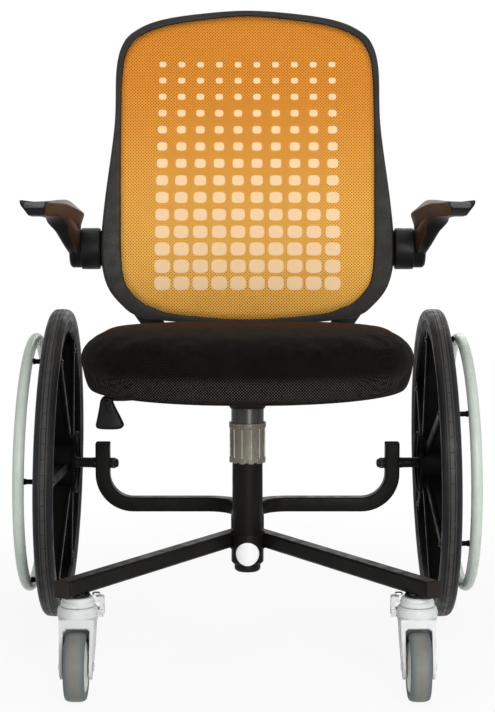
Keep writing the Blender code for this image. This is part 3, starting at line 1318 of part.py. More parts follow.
def armrest(word, side, chair):
    """One armrest: moulded arm with its round root, and the pad on it."""
    pivot = empty("armrest_axis_" + word, (0, PIVOT_Y, PIVOT_Z), (0, 0, 0), chair)
    root_line = empty("armrest_root_" + word, (0, 0, 0), (0, side * math.pi / 2, 0), pivot)
    bore = PIVOT_PIN_RADIUS + CLEARANCE
    head_room = PIVOT_PIN_HEAD + CLEARANCE
    head_seat = PIVOT_ARM_OUTER - 0.001 - PIVOT_HEAD_HEIGHT - CLEARANCE
    inner_face = PIVOT_HUB_OUTER + CLEARANCE
    arm = turned("armrest_arm_" + word, [
        (head_room, PIVOT_ARM_OUTER),
        (PIVOT_ARM_RADIUS - 0.004, PIVOT_ARM_OUTER),
        (PIVOT_ARM_RADIUS, PIVOT_ARM_OUTER - 0.004),
        (PIVOT_ARM_RADIUS, inner_face),
        (bore, inner_face),
        (bore, head_seat),
        (head_room, head_seat),
    ], "black_plastic", root_line, steps=HUB_STEPS)
    rings = []
    for x, y, z, half_width, half_thick, tilt in ARM_STRUT:
        angle = math.radians(tilt)
        up = Vector((0, math.sin(angle), math.cos(angle)))
        spot = Vector((side * x, y - PIVOT_Y, z - PIVOT_Z))
        outline = rounded_rectangle(2 * half_width, 2 * half_thick, min(half_width, half_thick) * 0.5, 1)
        rings.append([spot + Vector((a, 0, 0)) + up * b for a, b in outline])
    strut = loft("strut_" + word, rings, None, pivot)
    room = turned("pin_room_" + word, cylinder_profile(head_room, inner_face - 0.002, 0.4), None,
                  root_line)
    cut(strut, room)
    join(arm, strut)
    pad_rings = []
    height = PAD_TOP - PAD_BOTTOM
    for y, inner, outer, inner_drop in ARM_PAD:
        section = [
            (inner + 0.006, PAD_BOTTOM), (inner, PAD_TOP - 0.007 - inner_drop),
            (inner + 0.003, PAD_TOP - 0.001 - inner_drop), (inner + 0.6 * (outer - inner), PAD_TOP),
            (outer - 0.003, PAD_TOP), (outer, PAD_TOP - 0.003), (outer - 0.004, PAD_TOP - 0.3 * height),
            (outer - 0.019, PAD_BOTTOM),
        ]
        pad_rings.append([(side * x, y - PIVOT_Y, z - PIVOT_Z) for x, z in section])
    loft("armrest_pad_" + word, pad_rings, "gloss_black", pivot)


def build():
    """Builds the whole chair."""
    chair = empty("chair_origin", (0, -ORIGIN_Y, 0))
    column(chair)
    rear_arms(chair)
    front_legs(chair)
    axles(chair)
    caster_fixings(chair)
    piston(chair)
    gas_cylinder(chair)
    seat(chair)
    mechanism(chair)
    lever(chair)
    back_frame(chair)
    back_mesh(chair)
    back_yoke(chair)
    for word, side in SIDES.items():
        wheel_bearings(word, drive_wheel(word, side, chair))
        caster(word, side, chair)
        armrest_hub(word, side, chair)
        armrest(word, side, chair)


build()
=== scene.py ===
"""Visual model of a wheelchair with a swivelling seat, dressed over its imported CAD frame."""

import logging
import math
from dataclasses import dataclass
from enum import Enum
from typing import Dict, List, Optional, Sequence, Tuple

import bmesh
import bpy
from mathutils import Euler, Matrix, Vector
from mathutils.bvhtree import BVHTree


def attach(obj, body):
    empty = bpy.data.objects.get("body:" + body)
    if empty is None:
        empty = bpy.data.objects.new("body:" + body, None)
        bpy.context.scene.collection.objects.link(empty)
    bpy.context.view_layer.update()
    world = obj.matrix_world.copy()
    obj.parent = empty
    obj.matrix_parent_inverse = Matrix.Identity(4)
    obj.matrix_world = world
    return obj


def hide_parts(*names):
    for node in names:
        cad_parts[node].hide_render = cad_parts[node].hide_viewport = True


LOG = logging.getLogger("swivel_wheelchair")
Pair = Tuple[float, float]
Triple = Tuple[float, float, float]
Points = Sequence[Sequence[float]]
Piece = bpy.types.Object
Socket = bpy.types.NodeSocket
Shape = bmesh.types.BMesh

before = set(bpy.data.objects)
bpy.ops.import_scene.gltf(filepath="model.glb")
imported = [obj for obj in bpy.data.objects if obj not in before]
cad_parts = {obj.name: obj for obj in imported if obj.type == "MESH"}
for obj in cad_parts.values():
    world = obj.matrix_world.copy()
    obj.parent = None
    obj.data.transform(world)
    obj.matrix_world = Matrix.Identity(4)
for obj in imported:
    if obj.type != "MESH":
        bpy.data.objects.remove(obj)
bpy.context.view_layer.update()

ORIGIN_Y = 0.01275              # the column's axis stands this far in front of the frame's origin
CHAIR = Matrix.Translation((0.0, -ORIGIN_Y, 0.0))
GAP = 0.0003                    # between pieces that touch
ON_AXIS = 1e-7                  # a radius up to this is a point on the axis
FINISH_END = "_finish"          # a material is named by its slot and this


class Side(Enum):
    """The sitter's sides; the value is the sign of X."""

    LEFT = 1
    RIGHT = -1

    @property
    def word(self) -> str:
        """The side's name as the nodes spell it."""
        return self.name.lower()


class Sided:
    """A sub-assembly of one side; its pieces' names end in the side's word."""

    side: Side

    @property
    def word(self) -> str:
        """The side's name as the nodes spell it."""
        return self.side.word

    @property
    def sign(self) -> int:
        """The sign of X on this side."""
        return self.side.value


# Finishes

def shade(red: int, green: int, blue: int) -> Triple:
    """Turns an 8-bit colour into the linear values that shaders take.

    Args:
        red, green, blue: the colour as a screen shows it, from 0 to 255.

    Returns:
        The three linear values.
    """
    out = []
    for value in (red, green, blue):
        share = value / 255.0
        out.append(share / 12.92 if share <= 0.04045 else ((share + 0.055) / 1.055) ** 2.4)
    return tuple(out)


class Graph:
    """Short calls that write a node tree."""

    def __init__(self, tree: bpy.types.NodeTree) -> None:
        """Takes the tree to write."""
        self.tree = tree

    def node(self, kind: str, feeds: Optional[Dict[object, object]] = None,
             **settings: object) -> bpy.types.Node:
        """Adds a node.

        Args:
            kind: the node's type.
            feeds: what its inputs are linked or set to, by name or place.
            settings: its own settings.

        Returns:
            The node.
        """
        made = self.tree.nodes.new(kind)
        for key, value in settings.items():
            setattr(made, key, value)
        for key, value in (feeds or {}).items():
            self.feed(made.inputs[key], value)
        return made

    def feed(self, socket: Socket, value: object) -> None:
        """Links a socket to an output, or sets its own value; None leaves it as it is."""
        if isinstance(value, Socket):
            self.tree.links.new(value, socket)
        elif value is not None:
            is_colour = isinstance(value, tuple) and len(value) == 3 and socket.type == "RGBA"
            socket.default_value = (*value, 1.0) if is_colour else value


class Recipe(Graph):
    """Writes one material's nodes."""

    def __init__(self, name: str) -> None:
        """Makes the material and finds its shader."""
        self.material = bpy.data.materials.new(name)
        self.material.use_nodes = True
        super().__init__(self.material.node_tree)
        self.shader = self.tree.nodes["Principled BSDF"]
        self.coords = self.node("ShaderNodeTexCoord").outputs

    @property
    def base(self) -> Socket:
        """What the shader's colour is linked to so far."""
        return self.shader.inputs["Base Color"].links[0].from_socket

    def math(self, operation: str, *parts: object) -> Socket:
        """One arithmetic step on numbers or outputs."""
        return self.node("ShaderNodeMath", dict(enumerate(parts)), operation=operation).outputs[0]

    def times(self, first: object, second: object) -> Socket:
        """The product of two numbers or outputs."""
        return self.math("MULTIPLY", first, second)

    def split(self, vector: Socket) -> List[Socket]:
        """The three parts of a vector output."""
        return list(self.node("ShaderNodeSeparateXYZ", {0: vector}).outputs)

    def noise(self, size: float, detail: float) -> Socket:
        """Noise whose blotches are about size metres wide, from 0 to 1."""
        feeds = {"Vector": self.coords["Object"], "Scale": 1.0 / size, "Detail": detail}
        return self.node("ShaderNodeTexNoise", feeds).outputs["Fac"]

    def between(self, value: Socket, low: float, high: float, start: float = 0.0,
                end: float = 1.0) -> Socket:
        """Maps a value from low..high smoothly to start..end."""
        feeds = {"Value": value, "From Min": low, "From Max": high, "To Min": start, "To Max": end}
        return self.node("ShaderNodeMapRange", feeds, interpolation_type="SMOOTHSTEP").outputs["Result"]

    def mix(self, share: Socket, first: object, second: object) -> Socket:
        """Mixes two colours by a share."""
        return self.node("ShaderNodeMix", {"Factor": share, 6: first, 7: second},
                         data_type="RGBA").outputs[2]

    def ramp(self, value: Socket, reach: float, stops: Sequence[Tuple[float, Triple]]) -> Socket:
        """A colour that runs through stops, each at its value between 0 and reach."""
        made = self.node("ShaderNodeValToRGB", {"Fac": self.math("DIVIDE", value, reach)})
        marks = made.color_ramp.elements
        while len(marks) < len(stops):
            marks.new(0.5)
        for mark, (spot, colour) in zip(marks, stops):
            mark.position = spot / reach
            mark.color = (*colour, 1.0)
        return made.outputs["Color"]

    def band(self, value: Socket, low: float, high: float, soft: float) -> Socket:
        """1 where a value lies between low and high, with soft ends."""
        return self.times(self.between(value, low - soft, low),
                          self.between(value, high, high + soft, 1.0, 0.0))

    def bump(self, height: Socket, depth: float, after: Optional[Socket] = None) -> Socket:
        """A normal from a height of 0 to 1 that stands for depth metres."""
        return self.node("ShaderNodeBump",
                         {"Distance": depth, "Height": height, "Normal": after}).outputs["Normal"]

    def set(self, **values: object) -> None:
        """Sets or links the shader's own sockets; an underscore stands for a space."""
        for key, value in values.items():
            self.feed(self.shader.inputs[key.replace("_", " ")], value)


@dataclass(frozen=True)
class Finish:
    """A plain hard surface: a colour that varies a little, a grain and a gloss.

    Its name is the record's material slot.
    """

    name: str
    colour: Triple
    roughness: float
    metallic: float = 0.0
    grain: float = 0.0009           # width of the surface's grain
    grain_depth: float = 0.00004
    drift: float = 0.18             # how far the colour drifts over the surface
    gloss_drift: float = 0.1
    specular: float = 0.5
    coat: float = 0.0

    def dress(self, recipe: Recipe) -> None:
        """Writes the surface's nodes."""
        cloud = recipe.noise(0.045, 3.0)
        fine = recipe.noise(self.grain, 2.0)
        dark = tuple(part * (1.0 - self.drift) for part in self.colour)
        light = tuple(min(1.0, part * (1.0 + self.drift)) for part in self.colour)
        recipe.set(
            Base_Color=recipe.mix(recipe.between(cloud, 0.3, 0.7), dark, light),
            Metallic=self.metallic,
            Roughness=recipe.between(
                recipe.noise(0.02, 4.0), 0.3, 0.7,
                max(0.03, self.roughness - self.gloss_drift), min(1.0, self.roughness + self.gloss_drift)),
            Normal=recipe.bump(fine, self.grain_depth),
            Specular_IOR_Level=self.specular,
            Coat_Weight=self.coat,
            Coat_Roughness=0.12,
        )

    def make(self) -> bpy.types.Material:
        """Builds the material."""
        recipe = Recipe(self.name + FINISH_END)
        self.dress(recipe)
        recipe.material.diffuse_color = (*self.colour, 1.0)
        return recipe.material


@dataclass(frozen=True)
class Speckled(Finish):
    """Moulded plastic with a fine pale speckle in its grain."""

    speckle: Triple = (0.075, 0.073, 0.07)

    def dress(self, recipe: Recipe) -> None:
        """Writes the plain surface, and speckles its colour."""
        super().dress(recipe)
        grains = recipe.between(recipe.noise(0.0011, 1.0), 0.55, 0.8)
        recipe.set(Base_Color=recipe.mix(grains, recipe.base, self.speckle))


@dataclass(frozen=True)
class NetReflectionPlastic(Finish):
    """Moulded plastic whose faces towards the sitter carry a painted reflection of the orange net's light.
    """

    # inner: the brown of the net's light reflected on the inner faces, painted in as colour
    inner: Triple = shade(74, 48, 33)

    def dress(self, recipe: Recipe) -> None:
        """Writes the plain surface, and paints the net's reflected light on the faces that look inward,
        weaker lower down.
        """
        super().dress(recipe)
        side, _, height = recipe.split(recipe.coords["Object"])
        facing = recipe.split(recipe.coords["Normal"])[0]
        inward = recipe.times(recipe.math("SIGN", side), recipe.times(facing, -1.0))
        # painted reflection: strongest on inward faces high up, fading towards the bottom
        tint = recipe.times(recipe.between(inward, 0.12, 0.4),
                            recipe.between(height, 0.635, 0.7, 0.25, 1.0))
        recipe.set(Base_Color=recipe.mix(tint, recipe.base, self.inner))


@dataclass(frozen=True)
class TreadRubber(Finish):
    """Tyre rubber with the tread's stripes, cross marks and knurls, on the wrap UV; grooves and cross marks
    are darkened as painted shade.
    """

    marks: int = 67
    teeth: int = 420
    # the near-black stripes at 0.0033 to 0.0044 and 0.0088 to 0.0098 are painted shade in the grooves
    stripes: Tuple[Tuple[float, Triple], ...] = (       # from the tread's middle outwards, in metres
        (0.0, shade(62, 60, 57)), (0.0029, shade(58, 56, 53)), (0.0033, shade(8, 8, 8)),
        (0.0044, shade(8, 8, 8)), (0.0049, shade(44, 44, 43)), (0.0084, shade(40, 40, 40)),
        (0.0088, shade(9, 9, 9)), (0.0098, shade(10, 10, 10)), (0.0106, shade(28, 30, 33)),
        (0.018, shade(22, 23, 25)), (0.022, shade(36, 35, 34)), (0.033, shade(30, 29, 28)))

    def dress(self, recipe: Recipe) -> None:
        """Writes the rubber with its marks."""
        super().dress(recipe)
        around, across, _ = recipe.split(recipe.coords["UV"])
        off = recipe.math("ABSOLUTE", across)
        colour = recipe.ramp(off, 0.04, self.stripes)
        step = recipe.math("FRACT", recipe.times(around, float(self.marks)))
        line = recipe.times(recipe.band(off, -1.0, 0.0029, 0.0003),
                            recipe.between(step, 0.0, 0.07, 1.0, 0.0))
        tooth = recipe.math("PINGPONG", recipe.times(around, float(self.teeth)), 0.5)
        knurl = recipe.times(recipe.band(off, 0.0054, 0.008, 0.0004), recipe.between(tooth, 0.15, 0.35))
        height = recipe.math("SUBTRACT", recipe.times(knurl, 0.5), line)
        normal = recipe.shader.inputs["Normal"].links[0].from_socket
        colour = recipe.mix(recipe.times(knurl, 0.45), colour, (0.075, 0.074, 0.07))
        dust = recipe.times(recipe.between(recipe.noise(0.05, 4.0), 0.45, 0.75, 0.0, 0.35),
                            recipe.between(off, 0.004, 0.012, 1.0, 0.1))
        colour = recipe.mix(dust, colour, (0.085, 0.08, 0.072))
        # the cross marks are darkened near black: painted shade in their cuts
        recipe.set(Normal=recipe.bump(height, 0.0006, normal),
                   Base_Color=recipe.mix(line, colour, (0.003, 0.003, 0.003)))


@dataclass(frozen=True)
class WheelTpu(Finish):
    """The caster tyres' grey rubber, a little bluer towards its edges, on the wrap UV."""

    edge: Triple = (0.105, 0.13, 0.14)

    def dress(self, recipe: Recipe) -> None:
        """Writes the rubber with its bluish edges."""
        super().dress(recipe)
        off = recipe.math("ABSOLUTE", recipe.split(recipe.coords["UV"])[1])
        recipe.set(Base_Color=recipe.mix(recipe.between(off, 0.004, 0.015), recipe.base, self.edge))


@dataclass(frozen=True)
class Knit(Finish):
    """Upholstery knit: a diagonal lattice of yarn on each face, blended where faces turn."""

    pitch: float = 0.0046
    yarn: Triple = shade(30, 26, 23)
    worn: Triple = shade(82, 76, 71)        # painted highlight on the yarn low at the front
    warm: Triple = shade(84, 48, 20)        # painted reflection of the net's orange light on the yarn at the rear
    ground: Triple = shade(44, 24, 9)       # and between the yarn there, also painted reflection of the net

    def lattice(self, recipe: Recipe, first: object, second: object) -> Socket:
        """The yarn's height on one plane, from 0 to 1."""
        turn = 2.0 * math.pi / self.pitch
        product = recipe.times(*[recipe.math("SINE", recipe.times(part, turn)) for part in (first, second)])
        return recipe.math("MULTIPLY_ADD", product, 0.5, 0.5)

    def dress(self, recipe: Recipe) -> None:
        """Writes the knit, with a painted highlight low at the front and a painted reflection of the net at
        the rear.
        """
        super().dress(recipe)
        x, y, z = recipe.split(recipe.coords["Object"])
        facing = [recipe.math("POWER", recipe.math("ABSOLUTE", part), 4.0)
                  for part in recipe.split(recipe.coords["Normal"])]
        total = recipe.math("ADD", recipe.math("ADD", facing[0], facing[1]), facing[2])
        height = None
        for weight, plane in zip(facing, ((y, z), (x, z), (x, y))):
            part = recipe.times(self.lattice(recipe, *plane), recipe.math("DIVIDE", weight, total))
            height = part if height is None else recipe.math("ADD", height, part)
        fuzz = recipe.noise(0.0012, 3.0)
        lit = recipe.times(recipe.between(height, 0.5, 0.85), recipe.between(fuzz, 0.3, 0.7, 0.6, 1.0))
        # low: the band low at the front where a highlight is painted onto the yarn
        low = recipe.times(recipe.band(z, 0.428, 0.444, 0.018), recipe.between(y, -0.2, -0.12, 1.0, 0.2))
        # rear: where the net's orange reflection is painted, on the yarn and between it
        rear = recipe.between(y, -0.15, 0.05)
        base = recipe.mix(rear, recipe.base, self.ground)
        yarn = recipe.mix(rear, recipe.mix(low, self.yarn, self.worn), self.warm)
        recipe.set(
            Base_Color=recipe.mix(lit, base, yarn),
            Normal=recipe.bump(recipe.math("MULTIPLY_ADD", fuzz, 0.3, height), 0.0007),
            Sheen_Weight=0.02, Sheen_Roughness=0.45, Sheen_Tint=(0.75, 0.7, 0.66),
        )


@dataclass(frozen=True)
class PrintedNet(Finish):
    """The back's net: staggered holes in the weave, darkened with painted shade, and a plain graded grid of
    pale cells.

    The net UV is in metres: U across from the middle, V up from the foot along the net.
    """

    hole_pitch: float = 0.0057
    # painted shade inside the weave's holes, in the plain net and in the pale cells
    hole: Triple = (0.13, 0.052, 0.006)
    deep: Triple = shade(232, 146, 46)      # the net's colour at its top
    pale: Triple = (1.0, 0.72, 0.43)
    pale_hole: Triple = (0.97, 0.56, 0.25)
    cell_pitch: Pair = (0.0332, 0.03)
    cell_low: float = 0.014         # half width of a cell in the lowest row
    cell_high: float = 0.006        # and in the highest
    reach: float = 0.166            # half width of the grid
    foot: float = 0.06              # grid's lower and upper end on V
    head: float = 0.48

    def dress(self, recipe: Recipe) -> None:
        """Writes the net."""
        super().dress(recipe)
        across, up, _ = recipe.split(recipe.coords["UV"])
        turn = 2.0 * math.pi / self.hole_pitch
        waves = [recipe.math("COSINE", recipe.times(part, turn)) for part in (across, up)]
        weave = recipe.times(*waves)
        opening = recipe.between(weave, 0.25, 0.85)
        rows = recipe.math("FLOOR", recipe.math("DIVIDE", up, self.cell_pitch[1]))
        level = recipe.times(recipe.math("ADD", rows, 0.5), self.cell_pitch[1])
        half = recipe.between(level, self.foot, self.head, self.cell_low, self.cell_high)
        parts = []
        for value, pitch, squash in ((across, self.cell_pitch[0], 1.0), (up, self.cell_pitch[1], 0.86)):
            share = recipe.math("FRACT", recipe.math("DIVIDE", value, pitch))
            run = recipe.times(recipe.math("ABSOLUTE", recipe.math("SUBTRACT", share, 0.5)), pitch)
            parts.append(recipe.math("POWER", recipe.math("DIVIDE", run, recipe.times(half, squash)), 3.2))
        inside = recipe.between(recipe.math("ADD", *parts), 0.85, 1.15, 1.0, 0.0)
        for value, low, high in ((across, -self.reach, self.reach), (up, self.foot, self.head)):
            inside = recipe.times(inside, recipe.band(value, low, high, 0.0004))
        base = recipe.mix(recipe.between(up, 0.1, 0.46), recipe.base, self.deep)
        # the holes take painted shade
        plain = recipe.mix(opening, base, self.hole)
        printed = recipe.mix(recipe.times(opening, 0.8), self.pale, self.pale_hole)
        height = recipe.times(opening, recipe.math("MULTIPLY_ADD", inside, -0.7, 1.0))
        recipe.set(
            Base_Color=recipe.mix(inside, plain, printed),
            Normal=recipe.bump(recipe.math("SUBTRACT", 1.0, height), 0.0007),
            Sheen_Weight=0.05, Sheen_Roughness=0.5,
        )


class Surface(Enum):
    """Every finish of the chair."""

    POWDER_COAT = Finish("powder_coat", shade(21, 20, 18), 0.42, grain=0.0006, specular=0.07)
    PLUG = Finish("black_plastic", shade(46, 42, 39), 0.6, specular=0.0)
    BLACK_PLASTIC = Finish("black_plastic", shade(17, 17, 16), 0.42, specular=0.14)
    # the arms' inner faces carry a painted reflection of the orange net
    ARM_PLASTIC = NetReflectionPlastic("black_plastic", shade(17, 17, 16), 0.46, drift=0.04, gloss_drift=0.02,
                          specular=0.09)
    FRAME_PLASTIC = Speckled("frame_plastic", shade(45, 44, 41), 0.5, specular=0.14)
    WHEEL_PLASTIC = Finish("wheel_plastic", shade(10, 10, 9), 0.55, grain_depth=0.00001, specular=0.035)
    TYRE = TreadRubber("tyre_rubber", shade(38, 38, 38), 0.5, specular=0.18)
    HANDRIM = Finish("handrim_coat", shade(198, 209, 199), 0.25, grain=0.002, grain_depth=0.00001,
                     drift=0.04, gloss_drift=0.05, specular=0.25)
    CASTER_GREY = Finish("caster_grey", shade(206, 209, 208), 0.42, drift=0.03, specular=0.3)
    CASTER_CREAM = Finish("caster_cream", shade(206, 207, 198), 0.42, drift=0.04, specular=0.3)
    CASTER_RUBBER = WheelTpu("caster_rubber", shade(118, 118, 113), 0.55, drift=0.1, specular=0.25)
    ZINC = Finish("zinc", shade(200, 204, 208), 0.32, metallic=1.0, drift=0.12)
    BRIGHT_STEEL = Finish("bright_steel", shade(198, 198, 198), 0.25, metallic=1.0, drift=0.06)
    SMOKED = Finish("smoked_plastic", shade(106, 102, 89), 0.36, drift=0.12, specular=0.5)
    # the ribs' lighter copy of the smoked plastic: painted highlight on the ribs
    SMOKED_RIB = Finish("smoked_plastic", shade(186, 181, 166), 0.36, drift=0.08, specular=0.5)
    # the lift sleeve's black plastic, lightened all over to stand for its broad highlight: painted highlight
    SLEEVE = Finish("black_plastic", shade(40, 39, 36), 0.32, grain_depth=0.00001, gloss_drift=0.02,
                    specular=0.5)
    GLOSS_BLACK = Finish("gloss_black", shade(22, 22, 22), 0.3, grain_depth=0.00001, gloss_drift=0.06,
                         specular=0.25)
    # a lighter plate that paints the pad nose's highlight
    NOSE_PANEL = Finish("gloss_black", shade(60, 60, 58), 0.3, drift=0.3, gloss_drift=0.0, specular=0.3)
    SEAT_KNIT = Knit("seat_fabric", shade(9, 8, 7), 0.95, grain=0.0011, specular=0.05)
    NET = PrintedNet("orange_mesh", shade(255, 187, 84), 0.75, drift=0.03, specular=0.15)
    PLYWOOD = Finish("plywood", shade(168, 132, 88), 0.65, grain=0.003, drift=0.2)
    BADGE = Finish("caster_cream", shade(250, 250, 251), 0.35, drift=0.006, specular=0.2)
    THREAD = Finish("seat_fabric", shade(20, 18, 17), 0.85, grain=0.0004, specular=0.05)

    def material(self) -> bpy.types.Material:
        """The finish's material, built at its first use."""
        if self.name not in MADE:
            MADE[self.name] = self.value.make()
        return MADE[self.name]


MADE: Dict[str, bpy.types.Material] = {}


# Shapes

def tilted(x: float, y: float) -> Matrix:
    """A turn about X and then Y, in radians."""
    return Euler((x, y, 0)).to_matrix().to_4x4()


def placed(name: str, data: bpy.types.ID) -> Piece:
    """A new object in the scene."""
    made = bpy.data.objects.new(name, data)
    bpy.context.scene.collection.objects.link(made)
    return made


def mirrored(side: Sequence[Pair]) -> List[Pair]:
    """A profile's half and its mirror image, in one outline."""
    return list(side) + [(x, -y) for x, y in reversed(side)]


def rounded(profile: Sequence[Pair], radius: float, closed: bool = True, steps: int = 3) -> List[Pair]:
    """Rounds each corner of an outline.

    Args:
        profile: the outline's corners.
        radius: how far back from a corner its rounding starts, at most.
        closed: whether the last corner joins the first.
        steps: the pieces of each rounding.

    Returns:
        The outline with steps + 1 points for each rounded corner.
    """
    out: List[Pair] = []
    count = len(profile)
    for i, here in enumerate(profile):
        if not closed and i in (0, count - 1):
            out.append(tuple(here))
            continue
        spot = Vector(here)
        back = Vector(profile[i - 1]) - spot
        ahead = Vector(profile[(i + 1) % count]) - spot
        reach = min(radius, 0.45 * back.length, 0.45 * ahead.length)
        start = spot + back.normalized() * reach
        end = spot + ahead.normalized() * reach
        for k in range(steps + 1):
            t = k / steps
            out.append(tuple(start * (1 - t) ** 2 + spot * (2 * t * (1 - t)) + end * t * t))
    return out


def arc(centre: Pair, radius: float, start: float, end: float, steps: int) -> List[Pair]:
    """Points along an arc, from one angle in degrees to the other."""
    angles = [math.radians(start + (end - start) * k / steps) for k in range(steps + 1)]
    return [(centre[0] + radius * math.cos(a), centre[1] + radius * math.sin(a)) for a in angles]


def circle(radius: float, steps: int) -> List[Pair]:
    """Points round a circle about its middle."""
    angles = [2 * math.pi * k / steps for k in range(steps)]
    return [(radius * math.cos(a), radius * math.sin(a)) for a in angles]


def round_box(width: float, height: float, corner: float, steps: int = 5) -> List[Pair]:
    """Outline of a rectangle with round corners, about its middle."""
    points: List[Pair] = []
    for start, sx, sy in ((0, 1, 1), (90, -1, 1), (180, -1, -1), (270, 1, -1)):
        points += arc((sx * (width / 2 - corner), sy * (height / 2 - corner)), corner, start, start + 90,
                      steps)
    return points


def smoothed(points: Points, closed: bool, steps: int) -> List[Vector]:
    """Points of any size on a smooth curve through the given ones, with steps between each two."""
    count = len(points)
    out: List[Vector] = []
    for i in range(count if closed else count - 1):
        around = [i - 1, i, i + 1, i + 2]
        if closed:
            before, here, there, after = (Vector(points[k % count]) for k in around)
        else:
            before, here, there, after = (Vector(points[max(0, min(count - 1, k))]) for k in around)
        for step in range(steps):
            t = step / steps
            out.append(
                0.5 * (2 * here + (there - before) * t + (2 * before - 5 * here + 4 * there - after) * t * t
                       + (3 * here - before - 3 * there + after) * t ** 3))
    if not closed:
        out.append(Vector(points[-1]))
    return out


def piece_from(name: str, shape: Shape, surface: Surface, place: Optional[Matrix] = None,
               angle: float = 38.0) -> Piece:
    """Makes a finished piece of a shape.

    Args:
        name: the piece's name.
        shape: its faces, which are set facing out and then freed.
        surface: its finish.
        place: where its own coordinates stand in the chair.
        angle: edges that turn more than this many degrees stay sharp.

    Returns:
        The piece, at the origin, with its place in its mesh.
    """
    bmesh.ops.recalc_face_normals(shape, faces=shape.faces)
    mesh = bpy.data.meshes.new(name)
    shape.to_mesh(mesh)
    shape.free()
    if place is not None:
        mesh.transform(place)
        if place.determinant() < 0:
            mesh.flip_normals()
    mesh.shade_smooth()
    mesh.set_sharp_from_angle(angle=math.radians(angle))
    mesh.materials.append(surface.material())
    return placed(name, mesh)


def skin(shape: Shape, rings: Sequence[Points], looped: bool = False, capped: bool = True) -> None:
    """Adds a skin over rings of as many points each, closed to a loop or capped at both ends."""
    rows = [[shape.verts.new(point) for point in ring] for ring in rings]
    for lower, upper in zip(rows, [*rows[1:], rows[0]] if looped else rows[1:]):
        for i in range(len(lower)):
            j = (i + 1) % len(lower)
            shape.faces.new((lower[i], lower[j], upper[j], upper[i]))
    if capped and not looped:
        shape.faces.new(rows[0][::-1])
        shape.faces.new(rows[-1])


def fan(shape: Shape, row: Sequence[bmesh.types.BMVert], middle: bmesh.types.BMVert) -> None:
    """Closes a ring of points with faces that meet in a middle point."""
    for here, there in zip(row, [*row[1:], row[0]]):
        shape.faces.new((here, there, middle))


def block(name: str, size: Triple, surface: Surface, spot: Triple = (0, 0, 0), bevel: float = 0.0) -> Piece:
    """A box of a size about a spot, with bevelled edges where that is asked for."""
    shape = bmesh.new()
    bmesh.ops.create_cube(shape, size=1.0)
    bmesh.ops.scale(shape, vec=size, verts=shape.verts)
    bmesh.ops.translate(shape, vec=spot, verts=shape.verts)
    if bevel:
        bmesh.ops.bevel(shape, geom=shape.edges, offset=bevel, segments=1, affect="EDGES")
    return piece_from(name, shape, surface)


def drop(name: str, size: Triple, surface: Surface, smoothness: int) -> Piece:
    """A ball of a size in each direction."""
    shape = bmesh.new()
    bmesh.ops.create_icosphere(shape, subdivisions=smoothness, radius=1.0)
    bmesh.ops.scale(shape, vec=size, verts=shape.verts)
    return piece_from(name, shape, surface, angle=80)


def lofted(name: str, rings: Sequence[Points], surface: Surface, place: Optional[Matrix] = CHAIR,
           looped: bool = False, angle: float = 50.0) -> Piece:
    """A closed piece skinned over its sections."""
    shape = bmesh.new()
    skin(shape, rings, looped)
    return piece_from(name, shape, surface, place, angle)


def turned(name: str, profile: Sequence[Pair], surface: Surface, place: Matrix, steps: int = 48,
           rounding: float = 0.0, sharp: float = 38.0) -> Piece:
    """A piece turned about its local Z; its wrap UV runs round it, and across from the profile's middle.

    Args:
        name: the piece's name.
        profile: (radius, height) pairs, an outline with a bore or one that starts and ends on the axis.
        surface: its finish.
        place: where the axis stands in the chair.
        steps: the facets round it.
        rounding: how far the corners are rounded.
        sharp: edges that turn more than this many degrees stay sharp.

    Returns:
        The piece.
    """
    solid = profile[0][0] == 0 and profile[-1][0] == 0
    points = rounded(profile, rounding, not solid) if rounding else list(profile)
    shape = bmesh.new()
    wrap = shape.loops.layers.uv.new("wrap")
    lengths = [math.dist(a, b) for a, b in zip(points, [*points[1:], points[0]])]
    runs = [-sum(lengths[:-1]) / 2]
    for length in lengths:
        runs.append(runs[-1] + length)
    rows = []
    for radius, height in points:
        spots = circle(radius, steps) if radius > ON_AXIS else [(0.0, 0.0)]
        rows.append([shape.verts.new((x, y, height)) for x, y in spots])
    count = len(points)
    for low in range(count - 1 if solid else count):
        high, near, far = (low + 1) % count, runs[low], runs[low + 1]
        for k in range(steps):
            corners = ((low, k, near), (low, k + 1, near), (high, k + 1, far), (high, k, far))
            verts, marks = [], []
            for row, step, length in corners:
                vert = rows[row][step % len(rows[row])]
                if vert not in verts:
                    verts.append(vert)
                    marks.append((step / steps, length))
            if len(verts) < 3:
                continue
            face = shape.faces.new(verts)
            for loop, mark in zip(face.loops, marks):
                loop[wrap].uv = mark
    return piece_from(name, shape, surface, place, sharp)


def swept(name: str, path: Sequence[Vector], section: Sequence[Pair], surface: Surface,
          angle: float = 38.0) -> Piece:
    """A bar of one section that follows a path without twisting.

    Args:
        name: the piece's name.
        path: the points of its middle line, in the chair's own frame.
        section: its outline, whose second axis points up at the start.
        surface: its finish.
        angle: edges that turn more than this many degrees stay sharp.

    Returns:
        The piece.
    """
    rings = []
    upward = Vector((0, 0, 1))
    for spot, before, after in zip(path, [path[0], *path], [*path[1:], path[-1]]):
        ahead = (after - before).normalized()
        upward = (upward - ahead * upward.dot(ahead)).normalized()
        across = ahead.cross(upward)
        inward = (after - 2 * spot + before).normalized()
        stretch = 0.0           # a mitre is wider than the bar, towards the inside of its bend
        if before != spot != after:
            cosine = max(0.5, math.cos((after - spot).angle(spot - before) / 2))
            stretch = 1 / cosine - 1 if cosine < 0.9999 else 0.0
        offsets = [across * a + upward * b for a, b in section]
        rings.append([spot + offset + inward * offset.dot(inward) * stretch for offset in offsets])
    return lofted(name, rings, surface, angle=angle)


